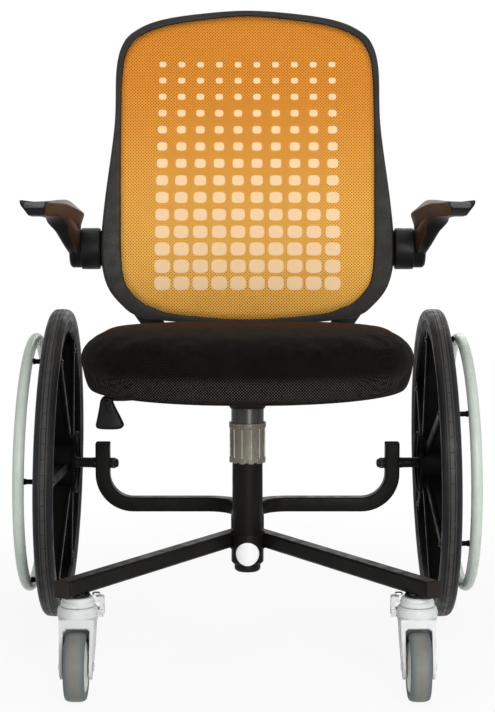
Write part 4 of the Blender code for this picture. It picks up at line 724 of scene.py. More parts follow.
def polished(node: str, surface: Surface, bevel: float = 0.0006, segments: int = 2,
             angle: float = 30.0) -> Piece:
    """A copy of a CAD node whose edges are rounded, as its moulding or coat rounds them."""
    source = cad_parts[node]
    shape = bmesh.new()
    shape.from_mesh(source.data)
    bmesh.ops.remove_doubles(shape, verts=shape.verts, dist=0.000002)
    bmesh.ops.dissolve_limit(shape, angle_limit=math.radians(0.6), verts=shape.verts, edges=shape.edges)
    piece = piece_from(node + "_shell", shape, surface, angle=angle)
    if bevel:
        edge = piece.modifiers.new("edge", "BEVEL")
        edge.width = bevel
        edge.segments = segments
        edge.limit_method = "ANGLE"
        edge.angle_limit = math.radians(angle)
        edge.miter_outer = "MITER_ARC"
        shading = piece.modifiers.new("shading", "WEIGHTED_NORMAL")
        shading.keep_sharp = True
        frozen(piece)
    return piece


def frozen(piece: Piece) -> None:
    """Applies a piece's modifiers to its mesh."""
    ready = piece.evaluated_get(bpy.context.evaluated_depsgraph_get())
    mesh = bpy.data.meshes.new_from_object(ready)
    old = piece.data
    piece.modifiers.clear()
    piece.data = mesh
    mesh.name = piece.name
    bpy.data.meshes.remove(old)


def joined(name: str, pieces: Sequence[Piece]) -> Piece:
    """Several pieces as one, under a new name."""
    shape = bmesh.new()
    for piece in pieces:
        shape.from_mesh(piece.data)
    mesh = bpy.data.meshes.new(name)
    shape.to_mesh(mesh)
    shape.free()
    mesh.shade_smooth()
    mesh.set_sharp_from_angle(angle=math.radians(38))
    mesh.materials.append(pieces[0].data.materials[0])
    for piece in pieces:
        discard(piece)
    return placed(name, mesh)


def discard(piece: Piece) -> None:
    """Removes a helper piece with its data."""
    data = piece.data
    bpy.data.objects.remove(piece, do_unlink=True)
    if isinstance(data, bpy.types.Mesh) and not data.users:
        bpy.data.meshes.remove(data)


def install(piece: Piece, body: str, *nodes: str) -> Piece:
    """Fixes a piece to its body, in place of the CAD nodes that it stands for."""
    mesh = piece.data
    material = mesh.materials[mesh.polygons[0].material_index]
    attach(piece, body)
    material.name.split(FINISH_END)[0]
    if nodes:
        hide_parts(*nodes)
    LOG.info("%s rides on %s, %d faces", piece.name, body, len(mesh.polygons))
    return piece


def repaint(node: str, surface: Surface) -> None:
    """Gives a CAD node that stays its full finish."""
    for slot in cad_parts[node].material_slots:
        slot.material = surface.material()


# Repeats

class CopyTree(Graph):
    """A Geometry Nodes tree that sets copies of one piece and gives them one finish."""

    def __init__(self, name: str, *sockets: Tuple[str, str]) -> None:
        """Makes the tree with its inputs, each a label and a kind."""
        super().__init__(bpy.data.node_groups.new(name, "GeometryNodeTree"))
        self.keys: Dict[str, str] = {}
        for label, kind in (("Piece", "Object"), ("Finish", "Material"), *sockets):
            made = self.tree.interface.new_socket(name=label, in_out="INPUT",
                                                  socket_type="NodeSocket" + kind)
            self.keys[label] = made.identifier
        self.tree.interface.new_socket(name="Geometry", in_out="OUTPUT", socket_type="NodeSocketGeometry")
        self.entry = self.node("NodeGroupInput").outputs

    def close(self, points: Socket, aim: Socket) -> None:
        """Sets the copies on points, realizes them and sets their finish."""
        piece = self.node("GeometryNodeObjectInfo", {"Object": self.entry["Piece"]})
        feeds = {"Points": points, "Instance": piece.outputs["Geometry"], "Rotation": aim}
        copies = self.node("GeometryNodeInstanceOnPoints", feeds)
        real = self.node("GeometryNodeRealizeInstances", {"Geometry": copies.outputs["Instances"]})
        feeds = {"Geometry": real.outputs["Geometry"], "Material": self.entry["Finish"]}
        paint = self.node("GeometryNodeSetMaterial", feeds)
        self.node("NodeGroupOutput", {0: paint.outputs["Geometry"]})

    def grow(self, name: str, surface: Surface, place: Matrix, piece: Piece, **values: object) -> Piece:
        """Runs the tree and keeps its result as a plain mesh.

        Args:
            name: the new piece's name.
            surface: its finish.
            place: where the tree's own coordinates stand in the chair.
            piece: the piece to copy, which is removed afterwards.
            values: the tree's other inputs by label, whose helper objects are removed too.

        Returns:
            The new piece.
        """
        carrier = placed(name, bpy.data.meshes.new(name + "_seed"))
        change = carrier.modifiers.new("copies", "NODES")
        change.node_group = self.tree
        for label, value in {"Piece": piece, "Finish": surface.material(), **values}.items():
            change[self.keys[label]] = value
        frozen(carrier)
        carrier.data.transform(place)
        for helper in [piece] + [value for value in values.values() if isinstance(value, Piece)]:
            discard(helper)
        return carrier


class RingTree(CopyTree):
    """Copies round local Z, whose X points away from the axis."""

    def __init__(self) -> None:
        """Writes the tree."""
        super().__init__("copies_round_an_axis", ("Count", "Int"), ("Radius", "Float"), ("Phase", "Float"))
        ring = self.node("GeometryNodeMeshCircle",
                         {"Vertices": self.entry["Count"], "Radius": self.entry["Radius"]})
        angle = self.node("ShaderNodeCombineXYZ", {"Z": self.entry["Phase"]})
        feeds = {"Geometry": ring.outputs["Mesh"], "Rotation": angle.outputs[0]}
        turn = self.node("GeometryNodeTransform", feeds)
        spot = self.node("GeometryNodeInputPosition")
        aim = self.node("FunctionNodeAlignRotationToVector", {"Vector": spot.outputs[0]}, axis="X",
                        pivot_axis="Z")
        self.close(turn.outputs["Geometry"], aim.outputs[0])


class LineTree(CopyTree):
    """Copies along a line of edges, whose X follows the line."""

    def __init__(self) -> None:
        """Writes the tree."""
        super().__init__("copies_along_a_line", ("Line", "Object"), ("Spacing", "Float"))
        line = self.node("GeometryNodeObjectInfo", {"Object": self.entry["Line"]})
        curve = self.node("GeometryNodeMeshToCurve", {"Mesh": line.outputs["Geometry"]})
        feeds = {"Curve": curve.outputs["Curve"], "Length": self.entry["Spacing"]}
        even = self.node("GeometryNodeResampleCurve", feeds, mode="LENGTH")
        ahead = self.node("GeometryNodeInputTangent")
        aim = self.node("FunctionNodeAlignRotationToVector", {"Vector": ahead.outputs[0]}, axis="X")
        self.close(even.outputs["Curve"], aim.outputs[0])


class SpotTree(CopyTree):
    """Copies on single points, whose Z follows each point's aim."""

    def __init__(self) -> None:
        """Writes the tree."""
        super().__init__("copies_on_spots", ("Spots", "Object"))
        spots = self.node("GeometryNodeObjectInfo", {"Object": self.entry["Spots"]})
        aim = self.node("GeometryNodeInputNamedAttribute", {"Name": "aim"}, data_type="FLOAT_VECTOR")
        turn = self.node("FunctionNodeAlignRotationToVector", {"Vector": aim.outputs["Attribute"]}, axis="Z")
        self.close(spots.outputs["Geometry"], turn.outputs[0])


RING, LINE, SPOTS = RingTree(), LineTree(), SpotTree()


def helper_mesh(name: str, points: Points, edges: Sequence[Tuple[int, int]] = ()) -> Piece:
    """A helper of bare points or edges for the trees."""
    mesh = bpy.data.meshes.new(name)
    mesh.from_pydata([tuple(point) for point in points], list(edges), [])
    return placed(name, mesh)


def line_helper(points: Points, closed: bool = False) -> Piece:
    """A helper line for copies along it."""
    count = len(points)
    return helper_mesh("line_helper", points,
                       [(i, (i + 1) % count) for i in range(count if closed else count - 1)])


def spots_helper(spots: Sequence[Tuple[Sequence[float], Sequence[float]]]) -> Piece:
    """A helper of spots, each with the direction that its copy faces."""
    made = helper_mesh("spots_helper", [spot for spot, _ in spots])
    aim = made.data.attributes.new("aim", "FLOAT_VECTOR", "POINT")
    for item, (_, direction) in zip(aim.data, spots):
        item.vector = tuple(direction)
    return made


def button_screw(radius: float, height: float) -> Piece:
    """A low domed screw head with a round socket, standing on local Z = 0."""
    head = [(0, height * 0.45), (radius * 0.42, height * 0.45), (radius * 0.46, height * 0.98),
            (radius * 0.62, height), (radius * 0.88, height * 0.62), (radius, height * 0.12), (radius, 0),
            (0, 0)]
    return turned("screw_helper", head, Surface.ZINC, Matrix.Identity(4), 18, radius * 0.04)


def seat_screws(name: str, radius: float, height: float, spots: Sequence[Tuple[Triple, Triple]]) -> None:
    """Screws of the seat's body, each with the direction that its head faces."""
    screw = button_screw(radius, height)
    install(SPOTS.grow(name, Surface.ZINC, CHAIR, screw, Spots=spots_helper(spots)), "seat")


def weld_bead(name: str, points: Points, size: float) -> None:
    """A weld seam: overlapping drops of metal along the joint, under the coat."""
    helper = drop("drop_helper", (0.62 * size, size, 0.85 * size), Surface.POWDER_COAT, 2)
    line = line_helper(points)
    install(LINE.grow(name, Surface.POWDER_COAT, CHAIR, helper, Line=line, Spacing=size * 0.62), "frame")


# The chair's sub-assemblies

@dataclass
class Column:
    """The upright: hub sleeve with its badge, tube, foot cap, collar and the lift's cover."""

    radius: float = 0.025
    wall: float = 0.002
    top: float = 0.352
    sleeve: float = 0.0266
    floor: float = 0.004            # of the sleeve's foot
    foot_bore: float = 0.0056
    sleeve_low: float = 0.124
    sleeve_high: float = 0.1755
    cap_radius: float = 0.0215
    cap_low: float = 0.112
    collar_low: float = 0.2935
    collar_high: float = 0.3595
    collar_radius: float = 0.029
    collar_bore: float = 0.0276
    rib_count: int = 12
    rib_root: float = 0.0016        # how deep a rib is set in the collar
    cover_radius: float = 0.0267
    cover_top: float = 0.3855
    cover_wall: float = 0.0011
    cylinder_bore: float = 0.0143
    badge_radius: float = 0.0192
    badge_height: float = 0.1441

    def build(self) -> None:
        """Builds and dresses the column."""
        tube, low, high = self.radius + GAP, self.sleeve_low, self.sleeve_high
        wide, bore, floor = self.sleeve, self.foot_bore, low + self.floor
        install(turned("hub_sleeve", [
            (tube, high), (wide, high), (wide, floor), (wide - self.floor, low), (bore, low), (bore, floor),
            (tube, floor),
        ], Surface.POWDER_COAT, CHAIR, 72, 0.0009), "frame", "column_hub")
        inner, foot = self.radius - self.wall, floor + GAP
        install(turned("upright_tube", [
            (inner, self.top), (self.radius, self.top), (self.radius, foot), (inner, foot),
        ], Surface.POWDER_COAT, CHAIR, 72, 0.0004), "frame", "column_tube")
        cap = self.cap_radius
        install(turned("foot_cap", [
            (0, low - GAP), (cap, low - GAP), (cap, self.cap_low + cap / 6), (cap * 0.84, self.cap_low),
            (0, self.cap_low),
        ], Surface.BLACK_PLASTIC, CHAIR, 64, 0.0016), "frame", "column_end_cap")
        self.collar()
        wide, high, low = self.cover_radius, self.cover_top, self.collar_low + 0.0056
        thin, bore = wide - self.cover_wall, self.cylinder_bore
        install(turned("lift_sleeve", [
            (bore, high), (wide, high), (wide, low), (thin, low), (thin, high - 0.002), (bore, high - 0.002),
        ], Surface.SLEEVE, CHAIR, 96, 0.0005), "seat", "lift_cover")
        self.badge()
        repaint("guide_bush", Surface.BLACK_PLASTIC)
        for node in ("thrust_bearing", "piston_rod", "gas_cylinder", "release_pin"):
            repaint(node, Surface.BRIGHT_STEEL)

    def collar(self) -> None:
        """The smoked collar, with its top band, slots between ribs and scalloped foot."""
        low, high, wide, tube = self.collar_low, self.collar_high, self.collar_radius, self.radius + GAP
        ring = turned("collar_ring", [
            (self.collar_bore, high), (wide + 0.0015, high), (wide + 0.0013, high - 0.008),
            (wide + 0.0002, high - 0.0092), (wide - 0.0004, low + 0.01), (wide + 0.0002, low + 0.0085),
            (wide, low + 0.0015), (tube, low + 0.0015), (tube, low + 0.005), (self.collar_bore, low + 0.005),
        ], Surface.SMOKED, CHAIR, 96, 0.0006)
        rise = high - 0.0095 - low
        feet = ((0.0, 0.62), (0.001, 0.9), (0.003, 1.0), (0.0072, 1.0), (0.008, 0.8))
        ribs = ((0.0084, 0.8), (0.0092, 1.0), (rise - 0.002, 1.0), (rise, 0.8))
        place = CHAIR @ Matrix.Translation((0, 0, low))
        grown = []
        # the ribs take the lighter copy of the smoked finish, a painted highlight
        for name, surface, half, proud, levels in (     # each level with its share of the width
                ("collar_feet", Surface.SMOKED, 0.0058, 0.0009, feet),
                ("collar_ribs", Surface.SMOKED_RIB, 0.0008, 0.0008, ribs)):
            side = [(-self.rib_root, half), (0.0, half), (proud, half * 0.6)]
            outline = rounded([(x, -y) for x, y in side] + side[::-1], 0.0003)
            rings = [[(x, y * grow, z) for x, y in outline] for z, grow in levels]
            rib = lofted("rib_helper", rings, surface, None, angle=38)
            grown.append(RING.grow(name, surface, place, rib, Count=self.rib_count, Radius=wide,
                                   Phase=math.radians(12)))
        install(joined("lift_collar_shell", [ring, grown[0]]), "frame", "lift_collar")
        install(grown[1], "frame")

    def badge(self) -> None:
        """The plain round badge on the sleeve's front."""
        shape = bmesh.new()
        rings = []
        for share, proud in ((0.55, 0.0009), (0.9, 0.0009), (0.965, 0.00075), (1.0, 0.0003), (1.0, -0.0004)):
            spots = circle(self.badge_radius * share, 64)
            deep = (self.sleeve + proud) ** 2
            rings.append([(x, -math.sqrt(max(0.0, deep - x * x)), self.badge_height + z) for x, z in spots])
        skin(shape, rings, capped=False)
        verts = list(shape.verts)
        fan(shape, verts[:64], shape.verts.new((0, -self.sleeve - 0.0009, self.badge_height)))
        shape.faces.new(verts[-64:])
        install(piece_from("hub_badge", shape, Surface.BADGE, CHAIR, 50), "frame")


@dataclass
class Underframe:
    """Rear arms and front legs of square tube, with their plugs and welds."""

    tube: float = 0.025
    corner: float = 0.003
    arm_level: float = 0.193
    arm_plate_x: float = 0.252
    arm_top: float = 0.29848
    axle_y: float = 0.172
    root_bend: float = 0.0575
    upright_bend: float = 0.0535
    leg_top: float = 0.176
    leg_weld_top: float = 0.1756    # just over the sleeve's rim
    leg_apex_y: float = 0.058
    stem: Pair = (0.2475, -0.332)

    def build(self) -> None:
        """Builds and dresses both sides."""
        for side in Side:
            self.arm(side)
            self.leg(side)
            for node in ("arm_plug_", "leg_plug_"):
                plug = polished(node + side.word, Surface.PLUG, 0.0005)
                install(plug, "frame", node + side.word)

    def arm_line(self, side: Side) -> List[Vector]:
        """Middle line of a rear arm, from the column up past the axle."""
        root = (self.tube + GAP) / 2
        points = [(root, Column.radius * 0.9, self.arm_level)]
        turn = (root + self.root_bend, self.axle_y - self.root_bend)
        points += [(x, y, self.arm_level) for x, y in arc(turn, self.root_bend, 180, 90, 14)]
        turn = (self.arm_plate_x - self.upright_bend, self.arm_level + self.upright_bend)
        points += [(x, self.axle_y, z) for x, z in arc(turn, self.upright_bend, -90, 0, 14)]
        points.append((self.arm_plate_x, self.axle_y, self.arm_top))
        return [Vector((side.value * x, y, z)) for x, y, z in points]

    def arm(self, side: Side) -> None:
        """One rear arm with the weld at its root."""
        section = round_box(self.tube, self.tube, self.corner)
        bar = swept("arm_tube_" + side.word, self.arm_line(side), section, Surface.POWDER_COAT, 50)
        install(bar, "frame", "rear_arm_" + side.word)
        seam = []
        half = self.tube / 2
        root = (self.tube + GAP) / 2
        for x, z in round_box(self.tube + 0.001, self.tube + 0.001, self.corner, 3):
            if side.value * x < -half + 0.002:
                continue
            across = side.value * root + x
            depth = math.sqrt(max(1e-6, Column.radius ** 2 - across ** 2))
            seam.append((across, depth + 0.0006, self.arm_level + z))
        seam = sorted(seam, key=lambda p: math.atan2(p[2] - self.arm_level, side.value * p[0] + half))
        weld_bead("arm_weld_" + side.word, seam, 0.0019)

    def leg(self, side: Side) -> None:
        """One front leg with the welds where it passes the sleeve."""
        shell = polished("front_leg_" + side.word, Surface.POWDER_COAT, 0.0012, 3, 28)
        install(shell, "frame", "front_leg_" + side.word)
        start = Vector((0.0, self.leg_apex_y))
        ahead = (Vector((side.value * self.stem[0], self.stem[1])) - start).normalized()
        toward = (start - ahead * start.dot(ahead)).normalized()
        for label, height in (("top", self.leg_weld_top), ("foot", self.leg_top - self.tube - 0.0004)):
            seam = []
            for run in (k * 0.0022 for k in range(-8, 9)):
                reach = math.sqrt((Column.sleeve + 0.0004) ** 2 - run * run)
                seam.append((*(ahead * run + toward * reach), height))
            weld_bead("leg_weld_%s_%s" % (label, side.word), seam, 0.0017)


@dataclass
class DriveWheel(Sided):
    """One cambered drive wheel with its push rim, hub, axle and the nut inside the arm."""

    side: Side
    radius: float = 0.2665
    track_half: float = 0.327
    camber: float = math.radians(1.2)
    spoke_count: int = 6
    tyre_height: float = 0.024
    tyre_half: float = 0.0165
    tread_half: float = 0.0065
    tread_crown: float = 0.0004
    shoulder_drop: float = 0.0092
    rim_half: float = 0.0135
    rim_depth: float = 0.0145
    rim_lip: float = 0.004
    rim_lip_wall: float = 0.003
    spoke_web: float = 0.002        # half thickness
    spoke_edge: float = 0.003
    spoke_half: float = 0.00775
    hub_radius: float = 0.021
    hub_in: float = -0.0245
    hub_out: float = 0.038
    drum_radius: float = 0.0453
    bearing_radius: float = 0.014
    hoop_radius: float = 0.2144
    hoop_tube: float = 0.0095
    hoop_offset: float = 0.045
    axle_radius: float = 0.006
    axle_head: float = 0.0095
    spacer_radius: float = 0.0092

    def __post_init__(self) -> None:
        """Works out where the wheel stands."""
        height = self.radius * math.cos(self.camber) + self.tread_half * math.sin(self.camber)
        tilt = self.sign * (math.pi / 2 - self.camber)
        spot = Vector((self.sign * self.track_half, Underframe.axle_y, height))
        self.place = CHAIR @ Matrix.Translation(spot) @ tilted(0, tilt)
        self.phase = 0.0 if self.side is Side.LEFT else math.radians(30.0)
        self.seat = self.radius - self.tyre_height
        self.rim_inner = self.seat - self.rim_depth
        self.root, self.tip = self.hub_radius - 0.001, self.seat - self.rim_depth / 2
        self.body = "wheel_" + self.word

    def build(self) -> None:
        """Builds and dresses the wheel."""
        self.tyre()
        self.centre()
        self.hoop()
        self.fixings()

    def tyre(self) -> None:
        """The tyre, with its grooves and the bead over the rim."""
        half: List[Pair] = []
        grooves = ((0.0034, 0.0044, 0.001), (0.0088, 0.0098, 0.0007))
        for k in range(34):
            z = self.tyre_half * math.sin(math.pi / 2 * k / 33)
            past = max(0.0, z - self.tread_half) / (self.tyre_half - self.tread_half)
            drop_in = self.tread_crown * min(1.0, z / self.tread_half) ** 2
            drop_in += self.shoulder_drop * (1 - math.sqrt(max(0.0, 1 - past * past)))
            half.append((self.radius - drop_in, z))
        for low, high, depth in grooves:
            cut = [(r, z) for r, z in half if low - 0.0004 < z < high + 0.0004]
            level = cut[0][0]
            half = [(r, z) for r, z in half if not low - 0.0004 < z < high + 0.0004]
            half += [(level, low - 0.0003), (level - depth, low), (level - depth, high),
                     (level, high + 0.0003)]
            half.sort(key=lambda p: p[1])
        shoulder = self.seat + self.rim_lip + GAP
        base = self.rim_half - self.rim_lip_wall - GAP
        wide = self.tyre_half
        half += [(self.radius - 0.0115, wide - 0.0001), (shoulder + 0.0046, wide - 0.0016),
                 (shoulder + 0.0038, wide - 0.001), (shoulder + 0.0028, wide - 0.0012),
                 (shoulder, self.rim_half - self.rim_lip_wall / 3), (shoulder, base),
                 (self.seat + GAP, base)]
        profile = [(r, -z) for r, z in half[:0:-1]] + half
        piece = turned("tyre_cover_" + self.word, profile, Surface.TYRE, self.place, 240, sharp=42)
        install(piece, self.body, "tyre_" + self.word)

    def spoke_levels(self, run: float) -> Pair:
        """Inner and outer edge of a spoke at a distance from the axle."""
        share = (run - 0.018) / (self.tip - 0.018)
        return -0.0228 + 0.0116 * share, 0.0245 - 0.0133 * share

    def spoke(self) -> Piece:
        """One spoke of an I section that flares at the rim, from its root at X = 0."""
        rings = []
        for k in range(25):
            run = self.root + (self.tip - self.root) * k / 24
            low, high = self.spoke_levels(run)
            flare = 0.005 * math.exp(-(self.tip - 0.006 - run) / 0.009) if run > 0.19 else 0.0
            half = min(self.spoke_half + min(0.006, flare), run * 0.4)
            web, edge = self.spoke_web + min(0.002, flare * 0.4), self.spoke_edge
            corner = [(half, low), (half, low + edge), (web, low + edge * 1.5), (web, high - edge * 1.5),
                      (half, high - edge), (half, high)]
            outline = rounded(corner + [(-y, z) for y, z in reversed(corner)], 0.0011, steps=2)
            rings.append([(run - self.root, y, z) for y, z in outline])
        return lofted("spoke_helper", rings, Surface.WHEEL_PLASTIC, None, angle=45)

    def rib_rows(self) -> Piece:
        """The rows of small ribs beside one spoke's web."""
        inset, out, pitch = 0.0055, 0.0042, 0.0055
        points = []
        for sign in (-1, 1):
            for end, shift in ((0, inset), (1, -inset)):
                points += [(run - self.root, sign * out, self.spoke_levels(run)[end] + shift)
                           for run in (0.06, 0.212)]
        lines = helper_mesh("line_helper", points, [(i, i + 1) for i in range(0, len(points), 2)])
        rib = block("rib_helper", (0.0016, 0.0026, 0.0052), Surface.WHEEL_PLASTIC)
        return LINE.grow("rib_rows", Surface.WHEEL_PLASTIC, Matrix.Identity(4), rib, Line=lines,
                         Spacing=pitch)

    def centre(self) -> None:
        """The moulded centre: hub, drum, spokes, ribs, rim and the push rim's posts."""
        seat_bore = self.bearing_radius + GAP
        drum = self.drum_radius
        hub = turned("hub_barrel", [
            (seat_bore, self.hub_out), (self.hub_radius, self.hub_out), (self.hub_radius, 0.016),
            (drum - 0.001, 0.012), (drum, -0.01), (drum + 0.0006, -0.0248), (0.0536, -0.0252),
            (0.054, -0.03), (0.0535, -0.0312), (0.0524, -0.031), (0.052, -0.0274), (drum - 0.0026, -0.027),
            (drum - 0.003, 0.004), (self.hub_radius + 0.002, 0.005), (self.hub_radius, 0.002),
            (self.hub_radius, self.hub_in), (seat_bore, self.hub_in),
        ], Surface.WHEEL_PLASTIC, self.place, 96, 0.0009)
        seat, inner, edge, half = self.seat, self.rim_inner, self.seat + self.rim_lip, self.rim_half
        side = [(seat, half - self.rim_lip_wall), (edge, half - self.rim_lip_wall), (edge, half),
                (inner + 0.004, half), (inner, half - 0.004)]
        rim = turned("rim_hoop", side + [(inner + 0.0012, 0.0)] + [(r, -z) for r, z in reversed(side)],
                     Surface.WHEEL_PLASTIC, self.place, 200, 0.001)
        one = joined("spoke_helper", [self.spoke(), self.rib_rows()])
        spokes = RING.grow("spoke_set", Surface.WHEEL_PLASTIC, self.place, one, Count=self.spoke_count,
                           Radius=self.root, Phase=self.phase)
        rib = block("rib_helper", (0.024, 0.002, 0.029), Surface.WHEEL_PLASTIC, (0.0128, 0, -0.0095), 0.0004)
        ribs = RING.grow("hub_ribs", Surface.WHEEL_PLASTIC, self.place, rib, Count=12,
                         Radius=self.hub_radius - 0.002, Phase=self.phase + math.radians(15))
        top = self.hoop_offset - self.hoop_tube
        post = turned("post_helper", [
            (0, top - GAP), (0.0052, top - GAP), (0.0052, top - 0.003), (0.0042, top - 0.0045),
            (0.0042, half + 0.0045), (0.006, half + 0.0015), (0.006, half - 0.004), (0, half - 0.004),
        ], Surface.WHEEL_PLASTIC, Matrix.Identity(4), 20, 0.0005)
        posts = RING.grow("hoop_posts", Surface.WHEEL_PLASTIC, self.place, post, Count=self.spoke_count,
                          Radius=self.hoop_radius, Phase=self.phase)
        install(joined("wheel_centre_" + self.word, [hub, rim, spokes, ribs, posts]), self.body,
                "wheel_" + self.word)

    def hoop(self) -> None:
        """The push rim."""
        ring = arc((self.hoop_radius, self.hoop_offset), self.hoop_tube, 0, 345, 23)
        piece = turned("push_rim_" + self.word, ring, Surface.HANDRIM, self.place, 200)
        install(piece, self.body, "handrim_" + self.word)

    def fixings(self) -> None:
        """Screws in the spokes, hub cap, axle with its spacer, and the nut inside the arm."""
        screw = button_screw(0.0046, 0.0026)
        screw.data.transform(Matrix.Translation((0, 0, 0.0121)))
        turn = self.place @ tilted(math.pi, 0)
        screws = RING.grow("spoke_screws_" + self.word, Surface.GLOSS_BLACK, turn, screw,
                           Count=self.spoke_count, Radius=self.hoop_radius, Phase=-self.phase)
        install(screws, self.body)
        low = self.hub_out + GAP
        install(turned("hub_cover_" + self.word, [
            (0, low + 0.0065), (0.012, low + 0.0056), (0.0185, low + 0.002), (0.0185, low), (0.0137, low),
            (0.0137, low - 0.003), (0.0101, low - 0.003), (0.0101, low), (0, low),
        ], Surface.BLACK_PLASTIC, self.place, 56, 0.0008), self.body, "hub_cap_" + self.word)
        repaint("wheel_bearings_" + self.word, Surface.BRIGHT_STEEL)
        arm_half = Underframe.tube / 2 / math.cos(self.camber) + self.axle_head * math.sin(self.camber)
        plate = -(self.track_half - Underframe.arm_plate_x) / math.cos(self.camber)
        face = self.hub_out - 0.004 + GAP
        tip = plate - arm_half - 0.0145
        head, thread = self.axle_head, self.axle_radius
        install(turned("axle_bolt_" + self.word, [
            (0, face + 0.0034), (head, face + 0.0034), (head, face), (thread, face), (thread, tip + 0.001),
            (thread - 0.001, tip), (0, tip),
        ], Surface.ZINC, self.place, 40, 0.0005), "frame", "wheel_axle_" + self.word)
        bore, wide, low, high = thread + GAP, self.spacer_radius, plate + arm_half, self.hub_in
        waist = wide - 0.0005
        install(turned("wheel_spacer_" + self.word, [
            (bore, high - GAP), (wide, high - GAP), (wide, high - 0.005), (waist, high - 0.0056),
            (waist, low + 0.0052), (wide, low + 0.0046), (wide, low + GAP), (bore, low + GAP),
        ], Surface.POWDER_COAT, self.place, 40, 0.0004), "frame", "axle_spacer_" + self.word)
        inner = plate - arm_half
        parts = []
        for name, steps, rounding, sharp, profile in (      # each profile by radius and depth from the arm
                ("nut_washer", 36, 0.0003, 38,
                 ((0.0063, 0.0001), (0.0096, 0.0001), (0.0096, 0.0016), (0.0063, 0.0016))),
                ("nut_body", 6, 0.0002, 20,
                 ((0.0063, 0.0017), (0.0082, 0.0017), (0.0094, 0.0028), (0.0094, 0.0082), (0.0082, 0.0096),
                  (0.0063, 0.0096))),
                ("nut_crown", 32, 0.0004, 38,
                 ((0, 0.0094), (0.0078, 0.0094), (0.0076, 0.0118), (0.0056, 0.0142), (0.002, 0.015),
                  (0, 0.015)))):
            points = [(radius, inner - depth) for radius, depth in profile]
            parts.append(turned(name, points, Surface.BLACK_PLASTIC, self.place, steps, rounding, sharp))
        install(joined("axle_nut_" + self.word, parts), "frame")


